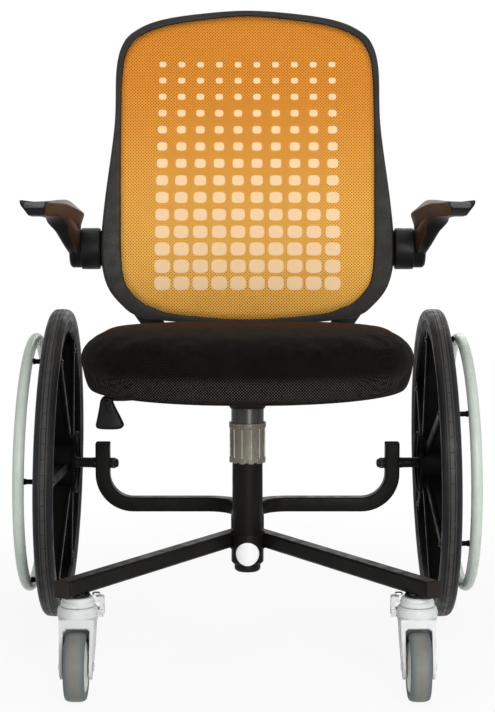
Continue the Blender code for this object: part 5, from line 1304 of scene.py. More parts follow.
@dataclass
class Caster(Sided):
    """One swivel caster: head, stem, fork, lock lever, wheel and axle."""

    side: Side
    radius: float = 0.05
    half: float = 0.01575
    trail: float = 0.031
    leg_low: float = 0.151
    ring_radius: float = 0.0252
    ring_top: float = 0.1469
    ring_low: float = 0.1334
    tyre_height: float = 0.0105
    hub_half: float = 0.0175
    axle_radius: float = 0.004
    cheek_end: float = 0.0236
    slot_half: float = 0.0195

    def __post_init__(self) -> None:
        """Works out where the caster stands."""
        x, y = Underframe.stem
        self.place = CHAIR @ Matrix.Translation((self.sign * x, y, 0))
        self.spin = (self.place @ Matrix.Translation((0, -self.trail, self.radius))
                     @ tilted(0, math.pi / 2))
        self.body = "caster_" + self.word

    def build(self) -> None:
        """Builds and dresses the caster."""
        self.head()
        self.fork()
        self.wheel()

    def head(self) -> None:
        """Head ring, stem, the black spacer over them and the small screw behind."""
        bore, low, top, leg, stud = 0.0083, self.ring_low, self.ring_top, self.leg_low, 0.006
        install(turned("head_ring_" + self.word, [
            (bore, top), (0.0212, top), (0.0228, top - 0.0012), (0.0236, top - 0.0058),
            (0.025, top - 0.0066), (self.ring_radius, low + 0.0006), (0.0246, low), (bore, low),
        ], Surface.CASTER_GREY, self.place, 80, 0.0006), "frame", "caster_head_" + self.word)
        install(turned("stem_bolt_" + self.word, [
            (0, leg + 0.016), (stud, leg + 0.016), (stud, leg - GAP), (0.0115, leg - GAP),
            (0.0115, top + GAP), (0.008, top + GAP), (0.008, 0.1059), (0.011, 0.1059), (0.011, 0.1014),
            (0, 0.1014),
        ], Surface.ZINC, self.place, 36, 0.0004), "frame", "caster_stem_" + self.word)
        install(turned("stem_spacer_" + self.word, [
            (0.0118, leg - GAP), (0.018, leg - GAP), (0.018, top + GAP), (0.0118, top + GAP),
        ], Surface.BLACK_PLASTIC, self.place, 48, 0.0005), "frame")
        spot = self.place @ Matrix.Translation((-self.sign * 0.0262, 0.008, top + 0.0003))
        install(turned("leg_screw_" + self.word, [
            (0, 0.0036), (0.006, 0.0036), (0.006, 0.0006), (0.005, 0), (0, 0),
        ], Surface.ZINC, spot, 6, 0.0004, 20), "frame")

    def fork(self) -> None:
        """Fork with the bands round its head, its lock lever and the wheel's axle."""
        shell = polished("caster_fork_" + self.word, Surface.CASTER_GREY, 0.0009, 3, 32)
        install(shell, self.body, "caster_fork_" + self.word)
        bands = [turned("band", [
            (radius - 0.003, high), (radius, high), (radius, low), (radius - 0.003, low),
        ], Surface.CASTER_GREY, self.place, 80, 0.0006) for radius, low, high in (
            (0.0301, 0.1192, 0.1268), (0.0289, 0.1284, 0.1312))]
        install(joined("fork_bands_" + self.word, bands), self.body)
        self.apron()
        lever = polished("caster_lock_" + self.word, Surface.CASTER_GREY, 0.0007, 3, 32)
        install(lever, self.body.replace("caster_", "caster_lock_"), "caster_lock_" + self.word)
        reach = self.cheek_end + GAP
        ends = [(0, reach + 0.002), (0.0055, reach + 0.002), (0.0075, reach), (self.axle_radius, reach)]
        install(turned("wheel_rivet_" + self.word, mirrored(ends), Surface.ZINC,
                       self.spin, 40, 0.0004), self.body, "caster_axle_" + self.word)

    def apron(self) -> None:
        """The fork's inner wall, which follows the tyre over its top and down behind it."""
        rings = []
        outline = rounded([(-1, 0), (-0.74, 0), (0.74, 0), (1, 0), (1, 1), (-1, 1)], 0.0, steps=1)
        for angle in (math.radians(degrees) for degrees in range(78, 21, -6)):
            ring = []
            for x, outer in outline:
                reach = self.radius + 0.0036 + (0.0016 if outer else -0.005 if abs(x) > 0.9 else 0.0)
                ring.append((x * (self.slot_half + 0.0004), reach * math.cos(angle) - self.trail,
                             reach * math.sin(angle) + self.radius))
            rings.append(ring)
        wall = lofted("fork_apron_" + self.word, rings, Surface.CASTER_GREY, self.place)
        install(wall, self.body)

    def wheel(self) -> None:
        """Hub with its face covers, and the tyre."""
        seat = self.radius - self.tyre_height
        bore = self.axle_radius + GAP
        wide, rim = self.hub_half, self.half
        face = [(bore, wide), (0.0085, wide), (0.01, wide - 0.0008), (seat * 0.45, wide - 0.0004),
                (seat * 0.72, wide - 0.0022), (seat - 0.0045, rim - 0.0012), (seat - 0.003, rim - 0.0032),
                (seat - GAP, rim - 0.003)]
        body = self.body.replace("caster_", "caster_wheel_")
        install(turned("caster_disc_" + self.word, mirrored(face),
                       Surface.CASTER_CREAM, self.spin, 96, 0.0005), body, "caster_hub_" + self.word)
        half: List[Pair] = []
        for k in range(16):
            past = math.sin(math.pi / 2 * k / 15)
            z = (self.half - 0.0004) * past
            half.append((self.radius - 0.0052 * (1 - math.sqrt(max(0.0, 1 - past ** 3.0))), z))
        half += [(seat + 0.002, self.half - 0.0008), (seat, self.half - 0.002)]
        profile = [(r, -z) for r, z in half[:0:-1]] + half
        install(turned("caster_tread_" + self.word, profile, Surface.CASTER_RUBBER, self.spin, 120),
                body, "caster_tyre_" + self.word)


@dataclass
class Seat:
    """Cushion, board, mechanism and the height lever with its paddle."""

    middle_y: float = -0.025
    half_width: float = 0.2675
    half_depth: float = 0.227
    bottom: float = 0.4155
    widest: float = 0.466
    crown: float = 0.515
    pan_half_width: float = 0.221
    pan_half_depth: float = 0.184
    pan_squareness: float = 2.4
    pan_low: float = 0.4245
    pan_top: float = 0.4365
    soft_gap: float = 0.0006
    pivot: Triple = (-0.036, 0.0, 0.4125)
    lever_end: Triple = (-0.2236, -0.02, 0.4)
    lever_radius: float = 0.0036

    def plan(self, half_x: float, half_y: float, squareness: float, points: int) -> List[Pair]:
        """One ring of the cushion's plan, between an ellipse and a rectangle."""
        ring = []
        power = 2 / squareness
        for k in range(points):
            a = 2 * math.pi * k / points
            c, s = math.cos(a), math.sin(a)
            ring.append((half_x * math.copysign(abs(c) ** power, c),
                         self.middle_y + half_y * math.copysign(abs(s) ** power, s)))
        return ring

    def build(self) -> None:
        """Builds and dresses the seat."""
        self.cushion()
        self.underside()
        self.lever()

    def cushion(self) -> None:
        """The cushion in its cover, which a cloth simulation blows up a little."""
        drop, rise = self.widest - self.bottom, self.crown - self.widest
        edge_x, edge_y = self.pan_half_width + self.soft_gap, self.pan_half_depth + self.soft_gap
        shrink = 0.0035
        board = self.pan_squareness
        levels = [(edge_x, edge_y, self.bottom + 0.0012, board),
                  (edge_x + 0.0018, edge_y + 0.0018, self.bottom, board)]
        for inset_x, inset_y, z, square, free in (
                (0.038, 0.03, self.bottom, 2.3, 0), (0.0235, 0.0135, self.bottom + 0.003, 2.3, 0),
                (0.0105, 0.005, self.widest - 0.46 * drop, 2.45, 1), (0.0022, 0.0002, self.widest, 2.6, 1),
                (0.0088, 0.0072, self.widest + 0.55 * rise, 2.75, 1),
                (0.029, 0.029, self.widest + 0.86 * rise, 2.9, 1), (0.085, 0.08, self.crown - 0.001, 2.9, 1),
                (0.17, 0.145, self.crown + 0.0003, 2.9, 1)):
            less = shrink * free
            levels.append((self.half_width + 0.002 - inset_x - less,
                           self.half_depth + 0.002 - inset_y - less, z - less * (z > self.widest), square))
        around = 96
        shape = bmesh.new()
        base = self.pan_top + self.soft_gap
        rings = [[(x, y, base) for x, y in self.plan(edge_x, edge_y, board, around)]]
        for half_x, half_y, z, square in smoothed(levels, False, 4):
            rings.append([(x, y, z + self.sag(x, y, z))
                          for x, y in self.plan(half_x, half_y, square, around)])
        skin(shape, rings, capped=False)
        rows = [list(shape.verts)[:around], list(shape.verts)[-around:]]
        for row, z in zip(rows, (base, self.crown - shrink + 0.0012)):
            fan(shape, row, shape.verts.new((0, self.middle_y, z)))
        piece = piece_from("seat_cover", shape, Surface.SEAT_KNIT, CHAIR, 80)
        self.inflate(piece)
        install(piece, "seat", "seat_cushion")
        self.hem()

    def sag(self, x: float, y: float, z: float) -> float:
        """How far the foot hangs or rises at a point: down in the front's middle, up at its sides."""
        low = max(0.0, min(1.0, (self.widest - z) / (self.widest - self.bottom)))
        front = max(0.0, min(1.0, (0.03 - y) / 0.14))
        return low ** 1.5 * front * (0.0052 * (x / 0.25) ** 2 - 0.0014)

    def inflate(self, piece: Piece) -> None:
        """Runs the cover as cloth under pressure and keeps the settled form.

        Args:
            piece: the cushion, whose mesh is replaced by the settled one.
        """
        remesh = piece.modifiers.new("even", "REMESH")
        remesh.mode = "VOXEL"
        remesh.voxel_size = 0.006
        remesh.use_smooth_shade = True
        frozen(piece)
        held = piece.vertex_groups.new(name="held")
        reach_x, reach_y = self.pan_half_width + 0.016, self.pan_half_depth + 0.016
        low = self.bottom + 0.006
        starts = [vert.co.copy() for vert in piece.data.vertices]
        for vert, spot in zip(piece.data.vertices, starts):
            x, y = spot.x, spot.y + ORIGIN_Y - self.middle_y
            share_x, share_y = abs(x) / reach_x, abs(y) / reach_y
            over_board = share_x ** self.pan_squareness + share_y ** self.pan_squareness < 1
            if spot.z < low or (over_board and spot.z < self.pan_top + 0.012):
                held.add([vert.index], 1.0, "REPLACE")
        cloth = piece.modifiers.new("cover", "CLOTH")
        cloth.settings.use_pressure = True
        cloth.settings.uniform_pressure_force = 4.0
        cloth.settings.quality = 6
        cloth.settings.tension_stiffness = cloth.settings.compression_stiffness = 25
        cloth.settings.vertex_group_mass = "held"
        cloth.settings.effector_weights.gravity = 0.0
        cloth.point_cache.frame_start, cloth.point_cache.frame_end = 1, 20
        scene = bpy.context.scene
        for number in range(1, 21):
            scene.frame_set(number)
        settled = piece.evaluated_get(bpy.context.evaluated_depsgraph_get()).data
        cap = 0.0055
        ends = [vert.co.copy() for vert in settled.vertices]
        piece.modifiers.clear()
        for vert, start, end in zip(piece.data.vertices, starts, ends):
            move = end - start
            if move.length > cap:
                move = move.normalized() * cap
            vert.co = start + move
        scene.frame_set(1)
        fine = piece.modifiers.new("fine", "SUBSURF")
        fine.levels = fine.render_levels = 1
        frozen(piece)
        piece.data.shade_smooth()
        spots, middle = [vert.co for vert in piece.data.vertices], self.middle_y - ORIGIN_Y
        wider = self.half_width / max(abs(spot.x) for spot in spots)
        deeper = self.half_depth / max(abs(spot.y - middle) for spot in spots)
        for spot in spots:
            spot.x, spot.y = spot.x * wider, middle + (spot.y - middle) * deeper

    def hem(self) -> None:
        """The hem's stitches under the cushion's edge."""
        helper = drop("stitch_helper", (0.0021, 0.0005, 0.00035), Surface.THREAD, 1)
        ring = [(x, y, self.bottom + 0.0002 + self.sag(x, y, self.bottom))
                for x, y in self.plan(self.half_width - 0.041, self.half_depth - 0.036, 2.3, 160)]
        row = LINE.grow("hem_stitches", Surface.THREAD, CHAIR, helper, Line=line_helper(ring, True),
                        Spacing=0.0068)
        install(row, "seat")

    def underside(self) -> None:
        """Board, pressed mechanism and the screws that hold it."""
        install(polished("seat_pan", Surface.PLYWOOD, 0.0005), "seat", "seat_pan")
        tray = polished("seat_mechanism", Surface.POWDER_COAT, 0.0009, 3)
        for vert in tray.data.vertices:
            vert.co.x *= 1.0 - 0.4 * max(0.0, min(1.0, (0.416 - vert.co.z) / 0.016))
        install(tray, "seat", "seat_mechanism")
        level = self.pan_low - GAP - 0.003
        spots = [((sx * 0.083, sy * 0.07, level), (0, 0, -1)) for sx in (-1, 1) for sy in (-1, 1)]
        seat_screws("plate_screws", 0.006, 0.0034, spots)

    def lever(self) -> None:
        """Bent lever with its moulded paddle."""
        pivot, end = Vector(self.pivot), Vector(self.lever_end)
        reach = end - pivot
        path = smoothed([
            (-pivot.x + 0.006, 0, 0), (0.0, 0, 0), (-0.04, 0, 0),
            (reach.x * 0.62, reach.y * 0.7, reach.z * 0.7), (reach.x * 0.85, reach.y, reach.z),
            tuple(reach)], False, 8)
        ring = circle(self.lever_radius, 24)
        rod = swept("lever_rod", [pivot + spot for spot in path], ring, Surface.POWDER_COAT)
        place = CHAIR @ Matrix.Translation(pivot) @ tilted(math.pi / 2, 0)
        pin = turned("lever_cross_pin", [(0, -0.0115), (0.0025, -0.0115), (0.0025, 0.0115), (0, 0.0115)],
                     Surface.POWDER_COAT, place, 24, 0.0003)
        install(joined("lever_rod_shell", [rod, pin]), "lever", "height_lever")
        grip = (                # left and right edge beside the lever's end, thickness, level
            (-0.0095, 0.0030, 0.0100, 0.4046), (-0.0128, 0.0042, 0.0140, 0.4020),
            (-0.0150, 0.0050, 0.0150, 0.3984), (-0.0163, 0.0055, 0.0144, 0.3950),
            (-0.0177, 0.0093, 0.0130, 0.3860), (-0.0195, 0.0140, 0.0130, 0.3768),
            (-0.0212, 0.0181, 0.0138, 0.3686), (-0.0233, 0.0223, 0.0150, 0.3593),
            (-0.0236, 0.0224, 0.0152, 0.3566), (-0.0222, 0.0202, 0.0146, 0.3530),
            (-0.0180, 0.0156, 0.0120, 0.3508), (-0.0080, 0.0080, 0.0070, 0.3499))
        rings = []
        for left, right, thick, level in smoothed(grip, False, 3):
            outline = round_box(right - left, thick, min(thick, right - left) * 0.4, 5)
            rings.append([(end.x + (left + right) / 2 + x, end.y + y, level) for x, y in outline])
        paddle = lofted("paddle_body", rings, Surface.BLACK_PLASTIC, angle=60)
        bulge = (               # shift across, half width, half depth, level
            (-0.0048, 0.0030, 0.0002, 0.4010), (-0.0048, 0.0046, 0.0028, 0.3985),
            (-0.0045, 0.0047, 0.0034, 0.3940), (-0.0032, 0.0042, 0.0030, 0.3880),
            (-0.0018, 0.0036, 0.0020, 0.3810), (-0.0006, 0.0030, 0.0002, 0.3745))
        rings = [[(end.x + shift + x * half, end.y - 0.0058 + y * deep, level) for x, y in circle(1.0, 24)]
                 for shift, half, deep, level in bulge]
        ridge = lofted("paddle_ridge", rings, Surface.BLACK_PLASTIC, angle=60)
        install(joined("lever_grip", [paddle, ridge]), "lever", "lever_paddle")


BACK_PROFILE = (                # outer and inner edge, from the top's middle to the foot's
    ((0.0000, 1.0575), (0.0000, 1.0478)), ((0.0860, 1.0512), (0.0790, 1.0410)),
    ((0.1540, 1.0395), (0.1430, 1.0300)), ((0.1960, 1.0213), (0.1850, 1.0140)),
    ((0.2195, 0.9965), (0.2090, 0.9910)), ((0.2305, 0.9500), (0.2200, 0.9480)),
    ((0.2325, 0.8500), (0.2218, 0.8480)), ((0.2490, 0.7160), (0.2215, 0.7130)),
    ((0.2552, 0.6450), (0.2215, 0.6430)), ((0.2528, 0.6010), (0.2190, 0.5980)),
    ((0.2420, 0.5660), (0.2110, 0.5700)), ((0.2200, 0.5380), (0.1880, 0.5440)),
    ((0.1975, 0.5207), (0.1660, 0.5330)), ((0.1560, 0.5110), (0.1260, 0.5212)),
    ((0.0000, 0.5012), (0.0000, 0.5112))
)


@dataclass
class Backrest:
    """Moulded frame, stretched net with its edge strip, and the yoke behind."""

    foot_y: float = 0.2
    recline: float = 0.09
    lumbar: float = 0.02
    wrap: float = 0.015
    thickness: float = 0.022
    net_thickness: float = 0.0014
    yoke_width: float = 0.044
    yoke_thickness: float = 0.009
    yoke_head: Pair = (0.208, 0.562)
    yoke_slant: float = 0.7
    yoke_knee: float = 0.452
    yoke_front: float = 0.084
    yoke_drop: float = 0.003        # from the cushion's foot to the yoke's top

    def __post_init__(self) -> None:
        """Reads the profile's extents."""
        self.top = BACK_PROFILE[0][0][1]
        self.low = BACK_PROFILE[-1][0][1]
        self.half = max(outer[0] for outer, _ in BACK_PROFILE)

    def depth(self, x: float, z: float) -> float:
        """Y of the back's front face at a point of the front view."""
        t = max(0.0, min(1.0, (z - self.low) / (self.top - self.low)))
        lean = self.recline * t ** 1.7 - self.lumbar * math.sin(math.pi * t)
        across = min(1.0, abs(x) / self.half)
        return self.foot_y + lean + self.wrap * (1 - across ** 2)

    def on_face(self, spot: Vector, deep: float) -> Triple:
        """The point that lies a depth behind the back's front face."""
        return spot.x, self.depth(spot.x, spot.y) + deep, spot.y

    def stations(self, steps: int) -> List[Tuple[Vector, Vector]]:
        """Outer and inner points of the frame, in step, all the way round."""
        half = [(*outer, *inner) for outer, inner in BACK_PROFILE]
        loop = half + [(-a, b, -c, d) for a, b, c, d in reversed(half[1:-1])]
        return [(Vector((p[0], p[1])), Vector((p[2], p[3]))) for p in smoothed(loop, True, steps)]

    def build(self) -> None:
        """Builds and dresses the back."""
        self.rim()
        self.net()
        self.yoke()

    def rim(self) -> None:
        """The moulded frame and the strip that clamps the net in it."""
        section = [(0.0, 0.0), (0.9, 0.0), (1.0, 0.16), (1.0, 0.8), (0.84, 1.0), (0.0, 1.0)]
        groove = rounded([(-0.0009, 0.3), (0.001, 0.24), (0.001, 0.5), (-0.0009, 0.44)], 0.0004, steps=2)
        rings, strip = [], []
        for outer, inner in self.stations(8):
            run = outer - inner
            width = run.length
            outline = rounded([(across * width, deep * self.thickness) for across, deep in section], 0.0026,
                              steps=4)
            rings.append([self.on_face(inner + run * (across / width), deep) for across, deep in outline])
            ahead = run.normalized()
            strip.append([self.on_face(inner + ahead * across, deep * self.thickness)
                          for across, deep in groove])
        install(lofted("back_rim", rings, Surface.FRAME_PLASTIC, looped=True), "seat", "back_frame")
        install(lofted("net_strip", strip, Surface.BLACK_PLASTIC, looped=True, angle=60), "seat")

    def net(self) -> None:
        """The net, stretched in the frame, with a UV in metres."""
        middle = Vector((0.0, (self.top + self.low) / 2))
        edge = [inner for _, inner in self.stations(8)]
        shape = bmesh.new()
        layer = shape.loops.layers.uv.new("net")
        count = 400
        heights = [self.low + (self.top - self.low) * k / count for k in range(count + 1)]
        runs = [0.0]
        for low, high in zip(heights, heights[1:]):
            runs.append(runs[-1] + math.hypot(high - low, self.depth(0, high) - self.depth(0, low)))
        rings = []
        for ring in range(20):
            share = 1 - ring / 20 if ring else 1.0008       # the edge is let into the frame's groove
            rings.append([self.on_face(middle + (spot - middle) * share, self.thickness * 0.35)
                          for spot in edge])
        skin(shape, rings, capped=False)
        last = list(shape.verts)[-len(edge):]
        fan(shape, last, shape.verts.new(self.on_face(middle, self.thickness * 0.35)))
        for loop in (loop for face in shape.faces for loop in face.loops):
            share = (loop.vert.co.z - self.low) / (self.top - self.low) * count
            index = max(0, min(count - 1, int(share)))
            up = runs[index] + (runs[index + 1] - runs[index]) * (share - index)
            loop[layer].uv = (loop.vert.co.x * 1.002, up)
        area = sum(face.calc_area() for face in shape.faces)
        piece = piece_from("back_net", shape, Surface.NET, CHAIR, 80)
        wall = piece.modifiers.new("wall", "SOLIDIFY")
        wall.thickness = self.net_thickness
        wall.offset = 0
        frozen(piece)
        install(piece, "seat", "back_mesh")

    def behind(self, x: float, z: float) -> float:
        """Y of the frame's back face, at its rearmost over the yoke's width."""
        return max(self.depth(x + sign * self.yoke_width / 2, z) for sign in (-1, 1)) + self.thickness

    def yoke_line(self) -> List[Tuple[Vector, float]]:
        """Middle line of one yoke leg with the tilt of its face, from the top down and forward."""
        under = Seat.bottom - self.yoke_drop - self.yoke_thickness / 2
        head_x, head_z = self.yoke_head
        line = []
        for k in range(9):
            z = head_z - k / 8 * (head_z - self.low)
            x = head_x - (head_z - z) * self.yoke_slant
            line.append((Vector((x, self.behind(x, z) + GAP + self.yoke_thickness / 2, z)), 0.0))
        rear = line[-1][0].y
        knee_x = head_x - (head_z - self.yoke_knee) * self.yoke_slant
        bend = self.yoke_knee - under
        for k in range(13):
            angle = -math.pi / 2 * k / 12
            y, z = rear - bend + bend * math.cos(angle), self.yoke_knee + bend * math.sin(angle)
            line.append((Vector((knee_x, y, z)), -angle))
        line.append((Vector((knee_x, self.yoke_front, under)), math.pi / 2))
        return line

    def yoke(self) -> None:
        """The yoke's two legs, its block under the board, and the screws through its heads."""
        pieces, spots = [], []
        line = self.yoke_line()
        outline = round_box(self.yoke_width, self.yoke_thickness, 0.003, 3)
        for side in Side:
            rings = []
            for spot, tilt in line:
                middle = Vector((side.value * spot.x, spot.y, spot.z))
                normal = Vector((0, math.cos(tilt), -math.sin(tilt)))
                rings.append([middle + Vector((across, 0, 0)) + normal * deep for across, deep in outline])
            pieces.append(lofted("yoke_leg", rings, Surface.FRAME_PLASTIC))
            for index, shift in ((1, 0.01), (1, -0.01), (4, 0.0)):
                x, y, z = line[index][0]
                spots.append(((side.value * x + shift, y + self.yoke_thickness / 2 - 0.0003, z), (0, 1, 0)))
        reach = line[-1][0].x + self.yoke_width / 2 + 0.0004
        low, high = Seat.bottom - self.yoke_drop - self.yoke_thickness - 0.0004, Seat.pan_low - GAP
        front, back = self.yoke_front - 0.001, self.yoke_front + 0.045
        outline = round_box(2 * reach, back - front, 0.006, 4)
        rings = [[(x * grow, (front + back) / 2 + y * grow, z) for x, y in outline]
                 for z, grow in ((low, 0.985), (low + 0.0015, 1.0), (high - 0.001, 1.0), (high, 0.99))]
        pieces.append(lofted("yoke_block", rings, Surface.FRAME_PLASTIC))
        install(joined("back_yoke_shell", pieces), "seat", "back_yoke")
        seat_screws("yoke_screws", 0.005, 0.0028, spots)


@dataclass
class Armrest(Sided):
    """One flip-up armrest: pivot housing, moulded arm and pad."""

    side: Side
    pivot_y: float = 0.206
    pivot_z: float = 0.637
    hub_radius: float = 0.036
    hub_inner: float = 0.2578
    hub_outer: float = 0.2885
    arm_radius: float = 0.033
    arm_outer: float = 0.3085
    pin_radius: float = 0.006
    pin_head: float = 0.01
    bracket_half: float = 0.031
    bracket_edge: float = 0.2235
    pad_top: float = 0.7225

    def __post_init__(self) -> None:
        """Works out the pivot's line."""
        self.line = (CHAIR @ Matrix.Translation((0, self.pivot_y, self.pivot_z))
                     @ tilted(0, self.sign * math.pi / 2))
        self.body = "armrest_" + self.word

    def build(self) -> None:
        """Builds and dresses the armrest."""
        self.housing()
        self.arm()
        self.pad()

    def housing(self) -> None:
        """Pivot housing with its stud, and the bracket on the back's frame."""
        end = self.arm_outer - 0.001
        wide, outer, low, pin = self.hub_radius, self.hub_outer, self.hub_inner, self.pin_radius
        hub = turned("pivot_housing", [
            (0, end), (self.pin_head, end), (self.pin_head, end - 0.0025), (pin, end - 0.0025), (pin, outer),
            (wide - 0.0012, outer), (wide, outer - 0.0012), (wide, low - 0.0002),
            (wide - 0.0014, low - 0.0016), (0, low - 0.0016),
        ], Surface.BLACK_PLASTIC, self.line, 72, 0.0012)
        back = Backrest()
        half, edge = self.bracket_half, self.bracket_edge
        corners = [(x, self.pivot_z + z) for x in (edge, self.hub_inner) for z in (-half, 0, half)]
        front = max(back.depth(x, z) for x, z in corners) + back.thickness + GAP
        width = self.hub_inner + 0.012 - edge
        outline = round_box(width, 2 * half, 0.006, 4)
        middle = edge + width / 2
        rings = [[(self.sign * (middle + x * grow), front + y, self.pivot_z + z * grow) for x, z in outline]
                 for y, grow in ((0.0, 0.985), (0.001, 1.0), (0.007, 1.0), (0.008, 0.97))]
        bracket = lofted("pivot_bracket", rings, Surface.BLACK_PLASTIC)
        install(joined("pivot_housing_" + self.word, [hub, bracket]), "seat", "armrest_hub_" + self.word)
        spots = [((self.sign * 0.236, front + 0.0078, self.pivot_z + shift), (0, 1, 0))
                 for shift in (-0.017, 0.017)]
        seat_screws("bracket_screws_" + self.word, 0.005, 0.0028, spots)

    def arm(self) -> None:
        """Moulded arm: round root with its cover, and a strut that widens to the pad."""
        bore, room = self.pin_radius + GAP, self.pin_head + GAP
        seat = self.arm_outer - 0.0035 - GAP
        wide, end, low = self.arm_radius, self.arm_outer, self.hub_outer + GAP
        root = turned("arm_root", [
            (room, end), (wide - 0.004, end), (wide, end - 0.004), (wide, low), (bore, low), (bore, seat),
            (room, seat),
        ], Surface.BLACK_PLASTIC, self.line, 72, 0.0012)
        strut = (               # x, y, z, half width, half thickness, tilt
            (0.2988, 0.206, 0.637, 0.0085, 0.0210, 20), (0.2995, 0.187, 0.660, 0.0100, 0.0350, 24),
            (0.3030, 0.158, 0.667, 0.0120, 0.0290, 28), (0.3110, 0.127, 0.679, 0.0160, 0.0160, 30),
            (0.3190, 0.100, 0.6893, 0.0185, 0.0052, 14), (0.3230, 0.060, 0.6985, 0.0100, 0.0034, 6),
        )
        rings = []
        for x, y, z, half_width, half_thick, tilt in smoothed(strut, False, 4):
            angle = math.radians(tilt)
            up = Vector((0, math.sin(angle), math.cos(angle)))
            outline = round_box(2 * half_width, 2 * half_thick, min(half_width, half_thick) * 0.6, 3)
            middle = Vector((self.sign * x, y, z))
            rings.append([middle + Vector((a, 0, 0)) + up * b for a, b in outline])
        bar = lofted("arm_strut", rings, Surface.ARM_PLASTIC)
        install(joined("arm_shell_" + self.word, [bar, root]), self.body, "armrest_arm_" + self.word)
        cap = turned("pivot_cover_" + self.word, [
            (0, end + 0.0004), (0.0085, end + 0.0002), (0.0098, end - 0.0006), (0.0098, end - 0.0008),
            (0, end - 0.0008),
        ], Surface.GLOSS_BLACK, self.line, 40, 0.0003)
        install(cap, self.body)

    def pad(self) -> None:
        """Pad with a slanted nose and a flared outer edge; its inner side falls back to the strut."""
        stations = (    # y, then x and z of inner edge, crest and outer edge, then the foot's two x and z
            (-0.0650, 0.3190, 0.7085, 0.3240, 0.7110, 0.3560, 0.7115, 0.3215, 0.3480, 0.6985),
            (-0.0590, 0.3150, 0.7135, 0.3200, 0.7150, 0.3610, 0.7172, 0.3200, 0.3480, 0.6972),
            (-0.0500, 0.3125, 0.7165, 0.3180, 0.7195, 0.3635, 0.7220, 0.3190, 0.3470, 0.6965),
            (-0.0380, 0.3105, 0.7170, 0.3165, 0.7205, 0.3635, 0.7210, 0.3180, 0.3460, 0.6955),
            (0.0000, 0.3065, 0.7165, 0.3140, 0.7213, 0.3600, 0.7192, 0.3150, 0.3430, 0.6953),
            (0.0600, 0.3010, 0.7150, 0.3105, 0.7224, 0.3540, 0.7188, 0.3085, 0.3380, 0.6930),
            (0.1050, 0.2950, 0.7110, 0.3085, 0.7225, 0.3480, 0.7188, 0.3003, 0.3320, 0.6860),
            (0.1400, 0.2880, 0.7050, 0.3075, 0.7222, 0.3440, 0.7180, 0.2948, 0.3240, 0.6760),
            (0.1700, 0.2815, 0.6993, 0.3040, 0.7190, 0.3400, 0.7140, 0.2905, 0.3180, 0.6700),
            (0.1880, 0.2825, 0.6950, 0.3010, 0.7100, 0.3300, 0.7080, 0.2898, 0.3130, 0.6730),
            (0.1950, 0.2870, 0.6930, 0.2990, 0.7010, 0.3200, 0.7010, 0.2915, 0.3100, 0.6790),
        )
        rings = []
        for y, *row in smoothed(stations, False, 4):
            inner, edge, crest, high, outer, rim, foot_in, foot_out, low = row
            section = [(foot_in, low), (inner, edge), (crest, high),
                       ((crest + outer) / 2, (high + rim) / 2 - 0.0016), (outer - 0.002, rim),
                       (outer, rim - 0.0024), (outer - 0.004, rim - 0.0076), (foot_out, low)]
            rings.append([(self.sign * x, y, z) for x, z in rounded(section, 0.002, steps=3)])
        pad = lofted("arm_pad_" + self.word, rings, Surface.ARM_PLASTIC)
        self.nose_panel(BVHTree.FromPolygons([CHAIR.inverted() @ v.co for v in pad.data.vertices],
                                             [tuple(p.vertices) for p in pad.data.polygons]))
        install(pad, self.body, "armrest_pad_" + self.word)

    def nose_panel(self, skin_tree: BVHTree) -> None:
        """A pale plate on the pad's slanted nose, laid on the nose's own surface: a painted highlight."""
        out = Vector((0, -0.75, 0.66))
        rings = []
        for proud, grow in ((-0.0016, 1.0), (0.0004, 1.0), (0.0008, 0.94)):
            ring = []
            for a, b in round_box(0.032, 0.0092, 0.0036, 4):
                start = Vector((self.sign * (0.3385 + a * grow), -0.3, self.pad_top - 0.0084 + b * grow))
                ring.append(skin_tree.ray_cast(start, Vector((0, 1, 0)))[0] + out * proud)
            rings.append(ring)
        highlight_plate = lofted("pad_nose_" + self.word, rings, Surface.NOSE_PANEL)
        install(highlight_plate, self.body)


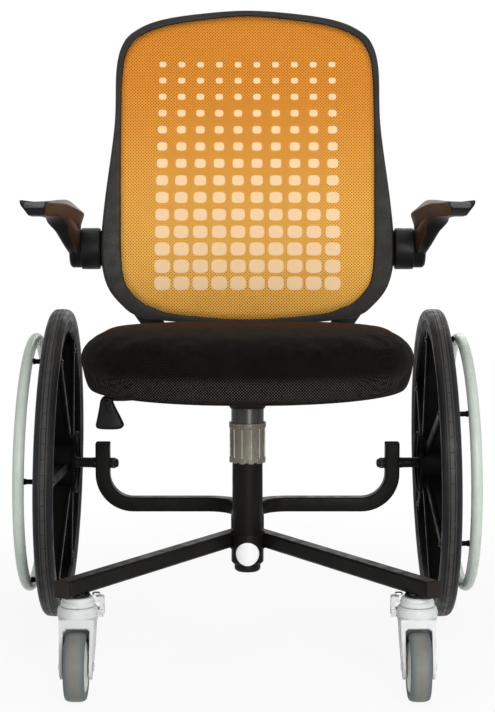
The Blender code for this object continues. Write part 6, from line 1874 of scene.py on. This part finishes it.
@dataclass
class Studio:
    """Camera, pale floor and soft light."""

    lens: float = 86.9
    camera_at: Triple = (0.0, -2.797, 0.728)
    pitch: float = 0.0927
    fill: float = 0.26

    def build(self) -> None:
        """Sets up the camera, the light and the floor."""
        scene = bpy.context.scene
        scene.view_settings.view_transform = "Standard"
        camera = placed("camera", bpy.data.cameras.new("camera"))
        camera.data.lens = self.lens
        camera.data.sensor_width = 36.0
        camera.data.clip_end = 100.0
        turn = tilted(math.pi / 2 - self.pitch, 0)
        camera.matrix_world = CHAIR @ Matrix.Translation(self.camera_at) @ turn
        scene.camera = camera
        self.world(scene)
        self.floor()
        for name, spot, aim, size, power in (
                ("key", (-1.9, -2.3, 2.3), 0.55, (1.3, 1.3), 8.0),
                ("side", (2.3, -1.7, 1.9), 0.5, (1.3, 1.3), 8.0),
                ("front", (0.75, -2.95, 0.95), 0.7, (1.0, 1.9), 60.0),
                ("top", (0.0, 0.3, 3.2), 0.5, (2.2, 2.2), 16.0),
                ("rear", (0.6, 2.6, 1.8), 0.6, (1.6, 1.6), 14.0)):
            self.lamp(name, Vector(spot), Vector((0, 0, aim)), size, power)

    def lamp(self, name: str, spot: Vector, aim: Vector, size: Pair, power: float) -> None:
        """One soft lamp of a width and height that faces a point."""
        light = bpy.data.lights.new(name, "AREA")
        light.shape = "RECTANGLE"
        light.size, light.size_y = size
        light.energy = power
        lamp = placed(name, light)
        lamp.location = spot
        lamp.rotation_euler = (aim - spot).to_track_quat("-Z", "Y").to_euler()

    @staticmethod
    def shown(graph: Graph) -> Socket:
        """1 where the camera, a reflection or a see-through piece shows the background."""
        path = graph.node("ShaderNodeLightPath").outputs
        total = path["Is Camera Ray"]
        for other in ("Is Glossy Ray", "Is Transmission Ray"):
            total = graph.node("ShaderNodeMath", {0: total, 1: path[other]}, operation="MAXIMUM").outputs[0]
        return total

    def world(self, scene: bpy.types.Scene) -> None:
        """White all round for the eye, and an even fill light."""
        scene.world = bpy.data.worlds.new("studio")
        scene.world.use_nodes = True
        graph = Graph(scene.world.node_tree)
        fill = graph.tree.nodes["Background"]
        fill.inputs["Color"].default_value = (1, 1, 1, 1)
        fill.inputs["Strength"].default_value = self.fill
        white = graph.node("ShaderNodeBackground", {"Color": (1, 1, 1), "Strength": 1.0})
        feeds = {0: self.shown(graph), 1: fill.outputs[0], 2: white.outputs[0]}
        mix = graph.node("ShaderNodeMixShader", feeds)
        graph.feed(graph.tree.nodes["World Output"].inputs["Surface"], mix.outputs[0])

    def floor(self) -> None:
        """Pale floor that fades into the background and keeps a soft shadow."""
        shape = bmesh.new()
        bmesh.ops.create_grid(shape, x_segments=1, y_segments=1, size=30.0)
        mesh = bpy.data.meshes.new("floor")
        shape.to_mesh(mesh)
        shape.free()
        recipe = Recipe("pale_floor")
        recipe.set(Base_Color=(0.92, 0.92, 0.92), Roughness=0.9)
        glow = recipe.node("ShaderNodeEmission", {"Strength": 1.0})
        length = recipe.node("ShaderNodeVectorMath", {0: recipe.coords["Object"]}, operation="LENGTH")
        fade = recipe.between(length.outputs["Value"], 0.5, 1.3, 0.9, 1.0)
        feeds = {0: recipe.times(self.shown(recipe), fade), 1: recipe.shader.outputs[0], 2: glow.outputs[0]}
        mix = recipe.node("ShaderNodeMixShader", feeds)
        recipe.feed(recipe.tree.nodes["Material Output"].inputs["Surface"], mix.outputs[0])
        mesh.materials.append(recipe.material)
        placed("floor", mesh)


def main() -> None:
    """Builds the chair's sub-assemblies in order."""
    logging.basicConfig(level=logging.INFO, format="%(message)s")
    Studio().build()
    Column().build()
    Underframe().build()
    for side in Side:
        DriveWheel(side).build()
        Caster(side).build()
    Seat().build()
    Backrest().build()
    for side in Side:
        Armrest(side).build()


if __name__ == "__main__":
    main()
